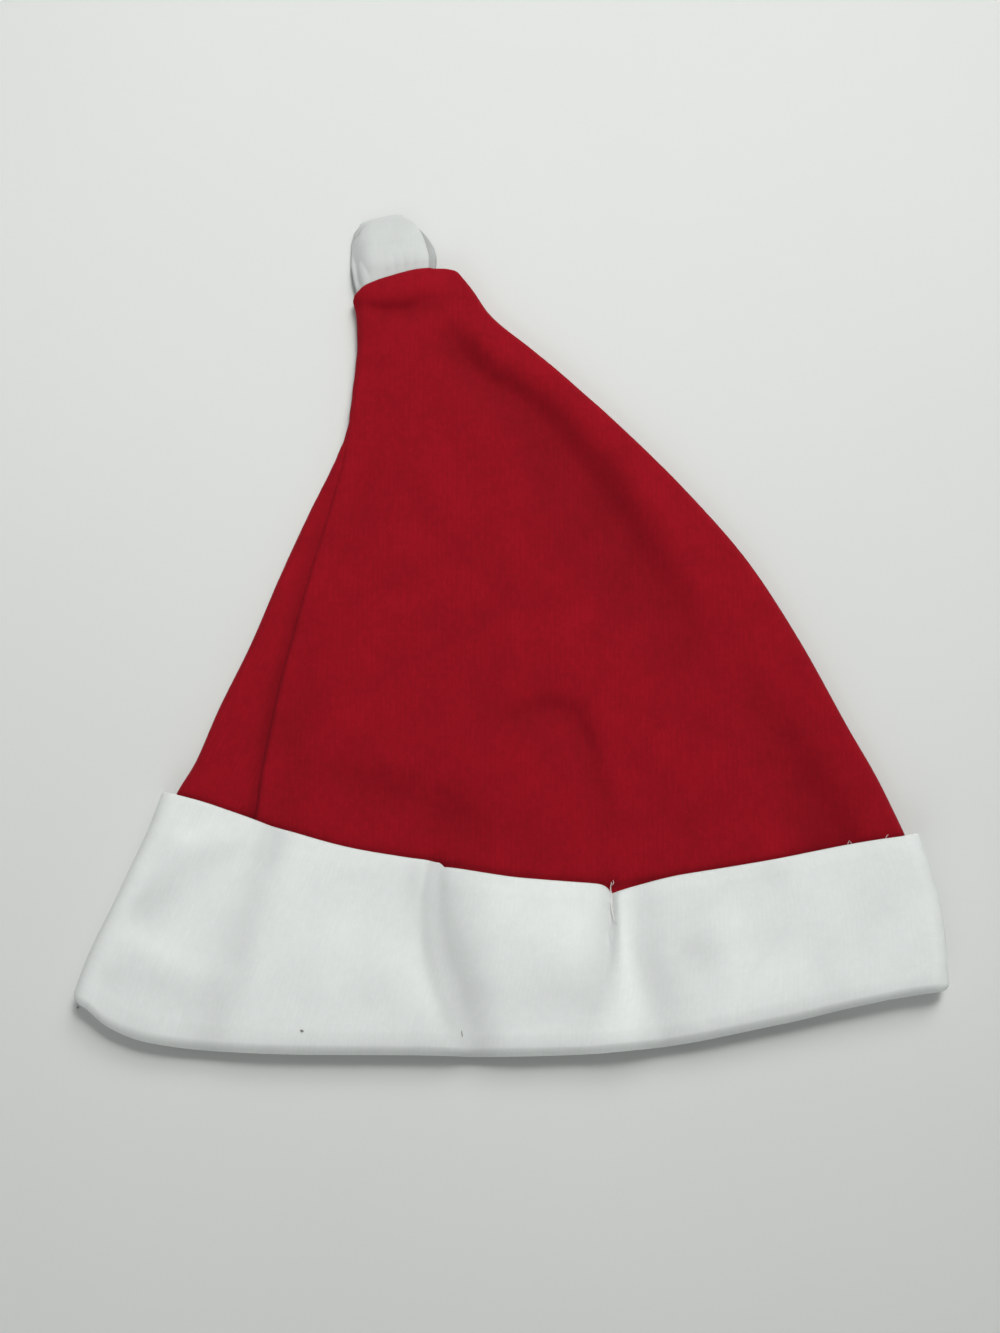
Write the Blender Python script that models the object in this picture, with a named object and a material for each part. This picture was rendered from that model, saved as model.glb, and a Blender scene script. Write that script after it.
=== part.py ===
"""Infant's Santa hat of cotton jersey, lying flat on its front.

Four sewn pieces: two red body panels, a white cuff that is cut double and turned up, and a white
loop of jersey in the seam at the tip. The body is one flattened tube from brim to tip. A place on
it is given by its distance round the tube, its distance up the tube from the brim, and its
distance out from the middle of the body's wall, and the panels and the cuff are walls laid along
it. Sizes below are millimetres, +Z is up, and the brim lies towards -Y.
"""
import math

import bpy
import numpy as np

MM = 0.001

# Walls and seams
RED_WALL = 1.0          # one layer of jersey
CUFF_WALL = 1.4         # the band is cut double
TAB_WALL = 1.0
SEAM_GAP = 0.3          # between pieces that are sewn or lie together
LEAF_STEP = CUFF_WALL + SEAM_GAP    # middle of the cuff's inner leaf to middle of its outer leaf
HEM_UP = 10.0           # the cuff is sewn to the body this far above the brim, out of sight
TURNED_EDGE = 0.6       # the red edge at the tip is rounded down to this much of its wall

# The flattened tube, a row for each section from brim to tip. left and right are the outermost
# points of the middle of the wall; low is the height of the lower layer; rise_left, crown and
# rise_right are how far the upper layer lies above it, at the edges and extra in the middle;
# seam_left and seam_right are how far in from the edge the side seams run, the left one on
# the upper layer and the right one on the lower layer, where a minus means past the edge.
SECTION_COLUMNS = ("left_x", "left_y", "right_x", "right_y", "low", "rise_left", "crown",
                   "rise_right", "seam_left", "seam_right")
SECTIONS = {
    "brim":       (-80.8, -77.3, 80.0, -74.8, 2.4, 2.0, 0.3, 3.0, 17.5, 20.0),
    "low cuff":   (-78.0, -68.8, 79.9, -67.8, 2.4, 2.0, 0.3, 2.8, 17.0, 19.0),
    "mid cuff":   (-74.1, -60.0, 79.4, -60.8, 2.4, 2.0, 0.4, 2.6, 16.5, 18.5),
    "high cuff":  (-69.4, -49.0, 77.6, -51.7, 2.4, 2.0, 0.4, 2.6, 16.0, 18.0),
    "cuff edge":  (-64.3, -37.2, 75.0, -45.4, 2.4, 2.0, 0.6, 2.6, 15.3, 17.5),
    "landing":    (-60.7, -30.0, 71.3, -35.9, 0.5, 3.0, 1.1, 3.4, 13.0, 16.8),
    "skirt":      (-56.8, -20.0, 64.6, -22.8, 0.5, 2.7, 1.1, 3.3, 10.8, 15.6),
    "low body":   (-50.8, -6.5, 55.9, -5.5, 0.5, 2.4, 0.9, 3.1, 7.7, 14.0),
    "mid body":   (-45.6, 7.0, 46.0, 10.9, 0.5, 2.3, 0.8, 3.0, 6.0, 12.0),
    "high body":  (-40.2, 20.0, 33.8, 25.8, 0.5, 2.2, 0.7, 2.9, 4.2, 10.0),
    "shoulder":   (-34.9, 32.0, 21.7, 38.6, 0.5, 2.3, 0.7, 2.9, 2.0, 8.0),
    "bend":       (-32.8, 38.4, 13.7, 46.3, 0.5, 2.3, 0.7, 2.8, 0.6, 6.5),
    "neck":       (-31.5, 48.0, 4.4, 54.8, 0.5, 2.4, 0.6, 2.8, -0.9, 5.0),
    "upper neck": (-30.8, 57.0, -4.5, 62.6, 0.5, 2.9, 0.5, 3.0, -1.6, 4.0),
    "under tip":  (-31.1, 63.0, -8.3, 68.2, 0.5, 3.7, 0.5, 3.3, -2.0, 3.0),
    "tip":        (-32.1, 67.2, -11.3, 71.9, 0.5, 3.9, 0.5, 3.4, -2.0, 3.0),
}

# How far the brim, the cuff's free edge and the tip hang below the straight line between
# their ends, at fractions of the way across.
BOW_COLUMNS = ("across", "brim", "cuff_edge", "tip")
BOWS = (
    (0.000, 0.0, 0.0, 0.0),
    (0.030, 3.7, 1.0, -0.6),
    (0.080, 6.7, 3.0, -1.1),
    (0.150, 8.7, 5.8, -1.6),
    (0.250, 9.7, 8.8, -2.0),
    (0.370, 10.1, 10.5, -2.2),
    (0.480, 10.5, 12.3, -2.4),
    (0.590, 9.9, 12.7, -2.5),
    (0.700, 8.0, 9.8, -2.4),
    (0.820, 4.5, 6.1, -2.0),
    (0.920, 1.7, 2.5, -1.4),
    (0.970, 0.3, 0.9, -0.8),
    (1.000, 0.0, 0.0, 0.0),
)
BOW_FADE = 1.4          # how fast the cuff edge's bow dies away up the body
TIP_BOW_REACH = 4.0     # how late the tip's bow sets in

# Folds in the upper layer: a name, the height (a minus is a trough), the half width, and the
# points that it runs through. The cuff's are in its outer leaf.
BODY_FOLDS = (
    ("edge trough", -0.9, 5.5, ((-8, 52), (-1, 50.5), (6, 44.8), (14.6, 32.3), (24.4, 17), (30.7, 0))),
    ("edge trough's low end", -0.5, 5.5, ((47.7, -20.5), (54, -28.3))),
    ("tip trough", -0.9, 2.8, ((-28.5, 63.6), (-24.7, 63.2), (-20.6, 63.8), (-17.5, 65))),
    ("tack pucker", -0.6, 3.5, ((1.5, -21), (5.5, -19.3), (9.8, -19), (13, -23), (15.7, -31))),
    ("tack pull", 0.5, 3.0, ((16.5, -27), (19.2, -43))),
    ("dent by the cuff", -0.5, 5.0, ((-27, -34), (-10, -38))),
    ("lift beside the seam", 0.5, 6.0, ((-31, 20), (-38, -10), (-42, -30))),
)
CUFF_FOLDS = (
    ("main fold", -0.8, 2.8, ((-13.6, -51), (-13.2, -58.5), (-10.8, -66), (-8.2, -76), (-7, -85))),
    ("groove of the seam", -0.5, 1.6, ((18, -54.5), (18.6, -58), (19.4, -62), (19.2, -64))),
    ("pillow", 0.7, 9.0, ((-3, -66), (10, -67))),
    ("tack ridge", 0.9, 3.2, ((20.5, -62), (23.5, -84))),
    ("foot of the ridge", -0.4, 3.0, ((28, -64), (30.5, -84))),
    ("left fold", 0.5, 4.5, ((-50, -42), (-46, -60))),
    ("left corner dent", -0.4, 4.0, ((-66, -62), (-57, -70), (-72, -72))),
    ("right dent", -0.4, 5.0, ((31, -67), (40, -71))),
)
FOLD_FADE = 7.0         # folds die out over this width at the side folds

# The seam that closes the cuff into a ring, the notch that its tack pulls in the free edge, and
# how far that edge stands off at the two side folds
CUFF_SEAM_ACROSS = 0.600
NOTCH_DEPTH = 1.5
NOTCH_HALF_WIDTH = 1.3
FREE_EDGE_REACH = 6.0
CUFF_FLARE = 0.7
FLARE_WIDTH = 4.0

# The loop of jersey at the tip: the line that it is folded on, and where its two leaves end,
# inside the body. Each row is a fraction across the strip.
TAB_COLUMNS = ("across", "fold_x", "fold_y", "upper_x", "upper_y", "lower_x", "lower_y")
TAB = (
    (0.00, -32.5, 81.0, -30.1, 66.6, -27.8, 67.4),
    (0.12, -31.3, 83.6, -28.6, 67.1, -26.3, 67.9),
    (0.40, -27.1, 85.0, -25.1, 68.3, -22.8, 69.0),
    (0.68, -23.0, 86.3, -21.6, 69.4, -19.3, 70.0),
    (0.85, -20.6, 84.4, -19.5, 70.0, -17.2, 70.6),
    (1.00, -18.8, 81.6, -17.9, 70.4, -15.3, 71.0),
)
TAB_LOW = 1.8           # middle of the lower leaf where it lies on the red lower panel
TAB_REST = 0.5          # and where it lies on the surface
TAB_LOFT = 1.3          # upper leaf above lower leaf
TAB_PUFF = 1.3          # how much more that is in the middle of the loop
TAB_SLIP = 1.5          # bulge of the lower leaf to the right of the upper one
TAB_OUT = 0.3           # the loop leaves the body this fraction of the way up to its fold
TAB_DROP = 0.35         # and its lower leaf comes down to the surface over this fraction
PUFF_START = 0.15

# Points: columns round each piece, rows up it, and how close together the columns lie on the
# upper and the lower layer, on and beside the side folds, and beside the cuff's seam
BACK_COLUMNS = 42
FRONT_COLUMNS = 24
RING_COLUMNS = 64
TAB_COLUMN_COUNT = 11
HIDDEN_ROWS, LANDING_ROWS, BODY_ROWS = 6, 4, 24
LANDING = 9.0
INNER_ROWS, TURN_ROWS, OUTER_ROWS, LEAF_ROWS = 3, 9, 9, 9
UPPER_CROWD, LOWER_CROWD = 1.0, 0.6
FOLD_CROWD, CORNER_CROWD, SEAM_CROWD = 8.0, 1.0, 5.0
CORNER_REACH = 7.0
FINE_STEPS = 1200
STEP = 0.05             # for slopes taken by differences

RED = (0.27, 0.008, 0.014, 1.0)
WHITE = (0.78, 0.80, 0.79, 1.0)
RED_ROUGHNESS, WHITE_ROUGHNESS = 0.9, 0.95
SHARP_ANGLE = math.radians(40)


def columns_of(names, rows):
    """A table's rows as one array for each of its column names."""
    return {name: np.array([row[i] for row in rows]) for i, name in enumerate(names)}


SECTION_TABLE = columns_of(SECTION_COLUMNS, SECTIONS.values())
BOW_TABLE = columns_of(BOW_COLUMNS, BOWS)
TAB_TABLE = columns_of(TAB_COLUMNS, TAB)


def through(places, values, wanted):
    """Read a smooth curve through a table's column that never overshoots its rows."""
    gaps = np.diff(places)
    slopes = np.diff(values) / gaps
    lean = np.zeros(len(places))
    same_way = slopes[:-1] * slopes[1:] > 0
    before, after = slopes[:-1][same_way], slopes[1:][same_way]
    lean[1:-1][same_way] = 2 * before * after / (before + after)
    lean[0], lean[-1] = slopes[0], slopes[-1]
    wanted = np.clip(wanted, places[0], places[-1])
    row = np.clip(np.searchsorted(places, wanted, side="right") - 1, 0, len(gaps) - 1)
    gap = gaps[row]
    s = (wanted - places[row]) / gap
    return ((1 + 2 * s) * (1 - s) ** 2 * values[row] + s * (1 - s) ** 2 * gap * lean[row]
            + s ** 2 * (3 - 2 * s) * values[row + 1] - s ** 2 * (1 - s) * gap * lean[row + 1])


def ease(value):
    """Go smoothly from 0 to 1 as the value does."""
    value = np.clip(value, 0.0, 1.0)
    return value * value * (3 - 2 * value)


def section_heights():
    """Distance of each section up the hat, measured from middle to middle."""
    middle_x = (SECTION_TABLE["left_x"] + SECTION_TABLE["right_x"]) / 2
    middle_y = (SECTION_TABLE["left_y"] + SECTION_TABLE["right_y"]) / 2
    steps = np.hypot(np.diff(middle_x), np.diff(middle_y))
    return np.concatenate(([0.0], np.cumsum(steps)))


HEIGHTS = section_heights()
CUFF_TOP = HEIGHTS[list(SECTIONS).index("cuff edge")]
TIP_TOP = HEIGHTS[-1]


def section(name, up):
    """A column of the sections' table at the given distances up from the brim."""
    return through(HEIGHTS, SECTION_TABLE[name], up)


def bow(across, up):
    """How far a section hangs below the line between its two ends."""
    in_cuff = np.clip(up / CUFF_TOP, 0, 1)
    in_body = np.clip((up - CUFF_TOP) / (TIP_TOP - CUFF_TOP), 0, 1)
    brim, edge, tip = (through(BOW_TABLE["across"], BOW_TABLE[name], across)
                       for name in ("brim", "cuff_edge", "tip"))
    cuff_part = brim * (1 - in_cuff) + edge * in_cuff
    return cuff_part * (1 - in_body) ** BOW_FADE + tip * in_body ** TIP_BOW_REACH


def fold_height(folds, x, y):
    """Sum of the folds at plan points, each a soft ridge or trough along its line."""
    total = np.zeros_like(x)
    for _name, height, half_width, line in folds:
        nearest = np.full_like(x, np.inf)
        for (x0, y0), (x1, y1) in zip(line[:-1], line[1:]):
            run_x, run_y = x1 - x0, y1 - y0
            along = ((x - x0) * run_x + (y - y0) * run_y) / (run_x ** 2 + run_y ** 2)
            along = np.clip(along, 0, 1)
            away = np.hypot(x - x0 - along * run_x, y - y0 - along * run_y)
            nearest = np.minimum(nearest, away)
        total += height * np.exp(-(nearest / half_width) ** 2)
    return total


def ring_lengths(up):
    """Radii of the two side folds, and the length of the straight run between them."""
    left, right = section("rise_left", up) / 2, section("rise_right", up) / 2
    width = np.hypot(section("right_x", up) - section("left_x", up),
                     section("right_y", up) - section("left_y", up))
    return left, right, width - left - right


def girth(up):
    """Distance all the way round the tube."""
    left, right, run = ring_lengths(up)
    return 2 * run + math.pi * (left + right)


def right_edge(up):
    """Distance round the tube from its left edge, over the top, to its right edge."""
    left, right, run = ring_lengths(up)
    return run + math.pi / 2 * (left + right)


def from_side_fold(around, up):
    """Distance round the tube to the nearer of its two side edges."""
    place = np.mod(around, girth(up))
    return np.minimum(np.minimum(place, girth(up) - place), np.abs(place - right_edge(up)))


def middle_of_wall(around, up):
    """Point on the middle of the body's wall, around being measured from the left edge."""
    left, right, run = ring_lengths(up)
    place = np.mod(around, girth(up))
    past_left = place - left * math.pi / 2
    past_top = past_left - run
    past_right = past_top - right * math.pi
    past_low = past_right - run
    where = [past_left < 0, past_top < 0, past_right < 0, past_low < 0]
    left_top = np.clip(place / left, 0, math.pi / 2)
    right_turn = np.clip(past_top / right, 0, math.pi)
    left_low = np.clip(past_low / left, 0, math.pi / 2)
    from_left = np.select(where, [left - left * np.cos(left_top), left + past_left,
                                  left + run + right * np.sin(right_turn), left + run - past_right],
                          left - left * np.sin(left_low))
    across = from_left / (left + run + right)
    left_x, left_y = section("left_x", up), section("left_y", up)
    x = left_x + (section("right_x", up) - left_x) * across
    y = left_y + (section("right_y", up) - left_y) * across - bow(across, up)
    on_top = np.clip(past_left / run, 0, 1)
    inside_edges = ease(past_left / FOLD_FADE) * ease(-past_top / FOLD_FADE)
    loft = 4 * on_top * (1 - on_top) * section("crown", up) + fold_height(BODY_FOLDS, x, y)
    rise = 2 * left + 2 * (right - left) * ease(on_top) + loft * inside_edges
    above = np.select(where, [left + left * np.sin(left_top), rise,
                              right + right * np.cos(right_turn), np.zeros_like(rise)],
                      left - left * np.cos(left_low))
    return np.stack([x, y, section("low", up) + above], axis=-1)


def on_body(around, up, out):
    """Point at a distance out from the middle of the body's wall."""
    around, up, out = np.broadcast_arrays(around, up, out)
    along_ring = middle_of_wall(around + STEP, up) - middle_of_wall(around - STEP, up)
    along_tube = middle_of_wall(around, up + STEP) - middle_of_wall(around, up - STEP)
    outward = np.cross(along_ring, along_tube)
    outward /= np.linalg.norm(outward, axis=-1, keepdims=True)
    return middle_of_wall(around, up) + outward * out[..., None]


def spread(first, last, up, count, end_crowd=0.0):
    """Columns round the tube from first to last, closest on the side folds."""
    around = first + (last - first) * np.linspace(0, 1, FINE_STEPS)[:, None]
    left, right, _run = ring_lengths(up)
    place = np.mod(around, girth(up))
    radius = np.where(np.abs(place - right_edge(up)) < 2 * right, right, left)
    to_fold = from_side_fold(around, up)
    to_end = np.minimum(around - first, last - around)
    crowd = (np.where(place < right_edge(up), UPPER_CROWD, LOWER_CROWD)
             + FOLD_CROWD / radius * (to_fold < 1.7 * radius)
             + CORNER_CROWD * np.exp(-to_fold / CORNER_REACH)
             + end_crowd * np.exp(-to_end / NOTCH_HALF_WIDTH))
    total = np.cumsum(crowd, axis=0)
    total = (total - total[0]) / (total[-1] - total[0])
    wanted = np.linspace(0, 1, count)
    return np.stack([np.interp(wanted, total[:, i], around[:, i]) for i in range(len(up))])


def wall_faces(rows, columns):
    """Faces of a closed wall between two grids of points, and of its four square edges."""
    outer = np.arange(rows * columns).reshape(rows, columns)
    inner = outer + rows * columns
    faces = []
    for r in range(rows - 1):
        for c in range(columns - 1):
            faces.append((outer[r, c], outer[r, c + 1], outer[r + 1, c + 1], outer[r + 1, c]))
            faces.append((inner[r + 1, c], inner[r + 1, c + 1], inner[r, c + 1], inner[r, c]))
    rim = [(r, 0) for r in range(rows - 1)]
    rim += [(rows - 1, c) for c in range(columns - 1)]
    rim += [(r, columns - 1) for r in range(rows - 1, 0, -1)]
    rim += [(0, c) for c in range(columns - 1, 0, -1)]
    for here, there in zip(rim, rim[1:] + rim[:1]):
        faces.append((outer[here], outer[there], inner[there], inner[here]))
    return [tuple(int(point) for point in face) for face in faces]


def cloth_material(name, colour, roughness):
    material = bpy.data.materials.new(name)
    material.use_nodes = True
    shader = material.node_tree.nodes["Principled BSDF"]
    shader.inputs["Base Color"].default_value = colour
    shader.inputs["Roughness"].default_value = roughness
    shader.inputs["Metallic"].default_value = 0.0
    return material


def wall_object(name, outer, inner, colour, roughness):
    """Closed solid between an outer and an inner grid of points."""
    rows, columns = outer.shape[:2]
    points = np.concatenate([outer.reshape(-1, 3), inner.reshape(-1, 3)]) * MM
    mesh = bpy.data.meshes.new(name)
    mesh.from_pydata(points.tolist(), [], wall_faces(rows, columns))
    mesh.shade_smooth()
    mesh.set_sharp_from_angle(angle=SHARP_ANGLE)
    mesh.materials.append(cloth_material(name, colour, roughness))
    bpy.context.scene.collection.objects.link(bpy.data.objects.new(name, mesh))


def left_seam(up):
    return section("seam_left", up)


def right_seam(up):
    return right_edge(up) + section("seam_right", up)


def red_panel(name, first, last, columns):
    """One red panel, between two distances round the tube, from its hidden hem to the tip."""
    hidden = np.linspace(HEM_UP + SEAM_GAP / 2, CUFF_TOP, HIDDEN_ROWS)
    landing = np.linspace(CUFF_TOP, CUFF_TOP + LANDING, LANDING_ROWS + 1)[1:]
    body = np.linspace(CUFF_TOP + LANDING, TIP_TOP - 2 * RED_WALL, BODY_ROWS + 1)[1:]
    edge = [TIP_TOP - RED_WALL / 2, TIP_TOP]
    up = np.concatenate([hidden, landing, body, edge])
    around = spread(first(up) + SEAM_GAP / 2, last(up) - SEAM_GAP / 2, up, columns)
    half_wall = np.full(len(up), RED_WALL / 2)
    half_wall[-1] *= TURNED_EDGE
    outer = on_body(around, up[:, None], half_wall[:, None])
    inner = on_body(around, up[:, None], -half_wall[:, None])
    wall_object(name, outer, inner, RED, RED_ROUGHNESS)


def cuff_profile():
    """The cuff cut through: rows of an outer and an inner point, each as (up, out)."""
    half = CUFF_WALL / 2
    centre_out = LEAF_STEP / 2
    outer_radius, inner_radius = centre_out + half, centre_out - half
    turn_end = 2 * outer_radius
    rows = [((up, -half), (up, half))
            for up in np.linspace(HEM_UP - SEAM_GAP / 2, turn_end, INNER_ROWS)]
    for angle in np.linspace(0, math.pi, TURN_ROWS):
        rows.append(((outer_radius - outer_radius * math.sin(angle),
                      centre_out - outer_radius * math.cos(angle)),
                     (outer_radius - inner_radius * math.sin(angle),
                      centre_out - inner_radius * math.cos(angle))))
    rows += [((up, LEAF_STEP + half), (up, LEAF_STEP - half))
             for up in np.linspace(turn_end, CUFF_TOP - half, OUTER_ROWS)]
    for angle in (math.radians(55), math.radians(75)):
        up = CUFF_TOP - half + half * math.sin(angle)
        thin = half * math.cos(angle)
        rows.append(((up, LEAF_STEP + thin), (up, LEAF_STEP - thin)))
    return np.array(rows)


def cuff():
    """The turned-up band: a strip closed into a ring by one seam, at the centre back."""
    faces = []
    for up, out in (cuff_profile()[:, side].T for side in (0, 1)):
        left, _right, run = ring_lengths(up)
        seam = left * math.pi / 2 + CUFF_SEAM_ACROSS * run
        first, last = seam + SEAM_GAP / 2, seam + girth(up) - SEAM_GAP / 2
        around = spread(first, last, up, RING_COLUMNS, SEAM_CROWD)
        up, out = up[:, None], out[:, None]
        points = on_body(around, up, out)
        outer_leaf = ease(out / LEAF_STEP)
        upper = np.mod(around, girth(up)) < right_edge(up)
        to_fold = from_side_fold(around, up)
        folds = fold_height(CUFF_FOLDS, points[..., 0], points[..., 1])
        points[..., 2] += folds * ease(to_fold / FOLD_FADE) * outer_leaf * upper
        free_edge = ease(1 - (CUFF_TOP - up) / FREE_EDGE_REACH) * outer_leaf
        to_seam = np.minimum(around - first[:, None], last[:, None] - around)
        points[..., 1] -= NOTCH_DEPTH * free_edge * np.exp(-to_seam / NOTCH_HALF_WIDTH)
        outward = np.sign(points[..., 0])
        points[..., 0] += outward * CUFF_FLARE * free_edge * np.exp(-(to_fold / FLARE_WIDTH) ** 2)
        faces.append(points)
    wall_object("cuff", faces[0], faces[1], WHITE, WHITE_ROUGHNESS)


def tip_tab():
    """The flat loop at the tip: up from inside the body, over its fold, and back down."""
    across = np.linspace(0, 1, TAB_COLUMN_COUNT)
    fold, upper_end, lower_end = (
        np.stack([through(TAB_TABLE["across"], TAB_TABLE[name + axis], across)
                  for axis in ("_x", "_y")], axis=-1)
        for name in ("fold", "upper", "lower"))
    heading = (fold - upper_end) / np.linalg.norm(fold - upper_end, axis=-1, keepdims=True)
    radius = TAB_LOFT / 2
    turn = fold - heading * (radius + TAB_WALL / 2)
    shares = np.linspace(0, 1, LEAF_ROWS)

    def row(plan, height):
        return np.column_stack([plan, np.full(len(across), height)])

    def low(share):
        return TAB_LOW + (TAB_REST - TAB_LOW) * ease((share - TAB_OUT) / TAB_DROP)

    rows = []
    for share in shares:
        puff = TAB_PUFF * math.sin(math.pi * ease((share - PUFF_START) / (1 - PUFF_START)))
        rows.append(row(upper_end + (turn - upper_end) * share, low(share) + TAB_LOFT + puff))
    for angle in np.linspace(0, math.pi, TURN_ROWS - 2)[1:-1]:
        height = TAB_REST + radius + radius * math.cos(angle)
        rows.append(row(turn + heading * radius * math.sin(angle), height))
    for share in shares[::-1]:
        slip = np.array([TAB_SLIP * math.sin(math.pi * share), 0.0])
        rows.append(row(lower_end + (turn - lower_end) * share + slip, low(share)))
    middle = np.stack(rows)
    outward = np.cross(np.gradient(middle, axis=1), np.gradient(middle, axis=0))
    outward *= TAB_WALL / 2 / np.linalg.norm(outward, axis=-1, keepdims=True)
    wall_object("tip_tab", middle + outward, middle - outward, WHITE, WHITE_ROUGHNESS)


def main():
    for thing in list(bpy.data.objects):
        bpy.data.objects.remove(thing, do_unlink=True)
    red_panel("body_back", left_seam, right_seam, BACK_COLUMNS)
    red_panel("body_front", right_seam, lambda up: girth(up) + left_seam(up), FRONT_COLUMNS)
    cuff()
    tip_tab()


main()
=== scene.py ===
"""Looks of an infant's Santa hat of cotton jersey, lying flat on its front.

The cloth follows the frame's solids. The body is one flattened tube from brim to tip, and a place
on it is given by its distance round the tube, its distance up the tube from the brim, and its
distance out from the middle of the body's wall. Each piece is a thin closed shell laid along that
tube, with its creases added one by one. Sizes are millimetres until a mesh is made, +Z is up, and
the brim lies towards -Y.
"""

import math

import bpy
import numpy as np
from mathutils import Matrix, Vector
from mathutils.bvhtree import BVHTree


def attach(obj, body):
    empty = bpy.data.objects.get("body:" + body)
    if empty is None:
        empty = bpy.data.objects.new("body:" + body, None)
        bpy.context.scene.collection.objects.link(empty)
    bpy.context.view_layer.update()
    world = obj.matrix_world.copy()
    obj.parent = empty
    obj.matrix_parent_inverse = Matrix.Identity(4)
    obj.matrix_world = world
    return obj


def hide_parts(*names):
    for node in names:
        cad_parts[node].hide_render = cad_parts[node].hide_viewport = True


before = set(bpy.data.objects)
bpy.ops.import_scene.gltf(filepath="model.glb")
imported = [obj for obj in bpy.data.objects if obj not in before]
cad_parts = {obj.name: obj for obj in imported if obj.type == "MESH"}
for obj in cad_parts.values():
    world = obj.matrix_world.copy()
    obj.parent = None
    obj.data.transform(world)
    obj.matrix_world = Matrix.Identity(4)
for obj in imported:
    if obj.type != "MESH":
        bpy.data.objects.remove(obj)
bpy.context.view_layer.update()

MM = 0.001

# ---- sizes shared with the frame
RED_WALL = 1.0  # one layer of jersey
CUFF_WALL = 1.4  # the band is cut double
TAB_WALL = 1.0
SEAM_GAP = 0.3
LEAF_STEP = CUFF_WALL + SEAM_GAP  # middle of the cuff's inner leaf to middle of its outer leaf
HEM_UP = 10.0  # the cuff is sewn to the body this far above the brim, out of sight

# The flattened tube, a row for each section from brim to tip. left and right are the outermost
# points of the middle of the wall; low is the height of the lower layer; rise_left, crown and
# rise_right are how far the upper layer lies above it, at the edges and extra in the middle;
# seam_left and seam_right are how far in from the edge the side seams run, the left one on
# the upper layer and the right one on the lower layer, where a minus means past the edge.
SECTION_COLUMNS = ("left_x", "left_y", "right_x", "right_y", "low", "rise_left", "crown",
                   "rise_right", "seam_left", "seam_right")
SECTIONS = {
    "brim":       (-80.8, -77.3, 80, -74.8, 2.4, 2, 0.3, 3, 17.5, 20),
    "low cuff":   (-78, -68.8, 79.9, -67.8, 2.4, 2, 0.3, 2.8, 17, 19),
    "mid cuff":   (-74.1, -60, 79.4, -60.8, 2.4, 2, 0.4, 2.6, 16.5, 18.5),
    "high cuff":  (-69.4, -49, 77.6, -51.7, 2.4, 2, 0.4, 2.6, 16, 18),
    "cuff edge":  (-64.3, -37.2, 75, -45.4, 2.4, 2, 0.6, 2.6, 15.3, 17.5),
    "landing":    (-60.7, -30, 71.3, -35.9, 0.5, 3, 1.1, 3.4, 13, 16.8),
    "skirt":      (-56.8, -20, 64.6, -22.8, 0.5, 2.7, 1.1, 3.3, 10.8, 15.6),
    "low body":   (-50.8, -6.5, 55.9, -5.5, 0.5, 2.4, 0.9, 3.1, 7.7, 14),
    "mid body":   (-45.6, 7, 46, 10.9, 0.5, 2.3, 0.8, 3, 6, 12),
    "high body":  (-40.2, 20, 33.8, 25.8, 0.5, 2.2, 0.7, 2.9, 4.2, 10),
    "shoulder":   (-34.9, 32, 21.7, 38.6, 0.5, 2.3, 0.7, 2.9, 2, 8),
    "bend":       (-32.8, 38.4, 13.7, 46.3, 0.5, 2.3, 0.7, 2.8, 0.6, 6.5),
    "neck":       (-31.5, 48, 4.4, 54.8, 0.5, 2.4, 0.6, 2.8, -0.9, 5),
    "upper neck": (-30.8, 57, -4.5, 62.6, 0.5, 2.9, 0.5, 3, -1.6, 4),
    "under tip":  (-31.1, 63, -8.3, 68.2, 0.5, 3.7, 0.5, 3.3, -2, 3),
    "tip":        (-32.1, 67.2, -11.3, 71.9, 0.5, 3.9, 0.5, 3.4, -2, 3),
}

# How far the brim, the cuff's free edge and the tip hang below the straight line between
# their ends, at fractions of the way across.
BOW_COLUMNS = ("across", "brim", "cuff_edge", "tip")
BOWS = (
    (0, 0, 0, 0),
    (0.03, 3.7, 1, -0.6),
    (0.08, 6.7, 3, -1.1),
    (0.15, 8.7, 5.8, -1.6),
    (0.25, 9.7, 8.8, -2),
    (0.37, 10.1, 10.5, -2.2),
    (0.48, 10.5, 12.3, -2.4),
    (0.59, 9.9, 12.7, -2.5),
    (0.7, 8, 9.8, -2.4),
    (0.82, 4.5, 6.1, -2),
    (0.92, 1.7, 2.5, -1.4),
    (0.97, 0.3, 0.9, -0.8),
    (1, 0, 0, 0),
)
BOW_FADE = 1.4  # how fast the cuff edge's bow dies away up the body
TIP_BOW_REACH = 4.0  # how late the tip's bow sets in
FOLD_FADE = 7.0  # the crown dies out over this width at the side folds

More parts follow.
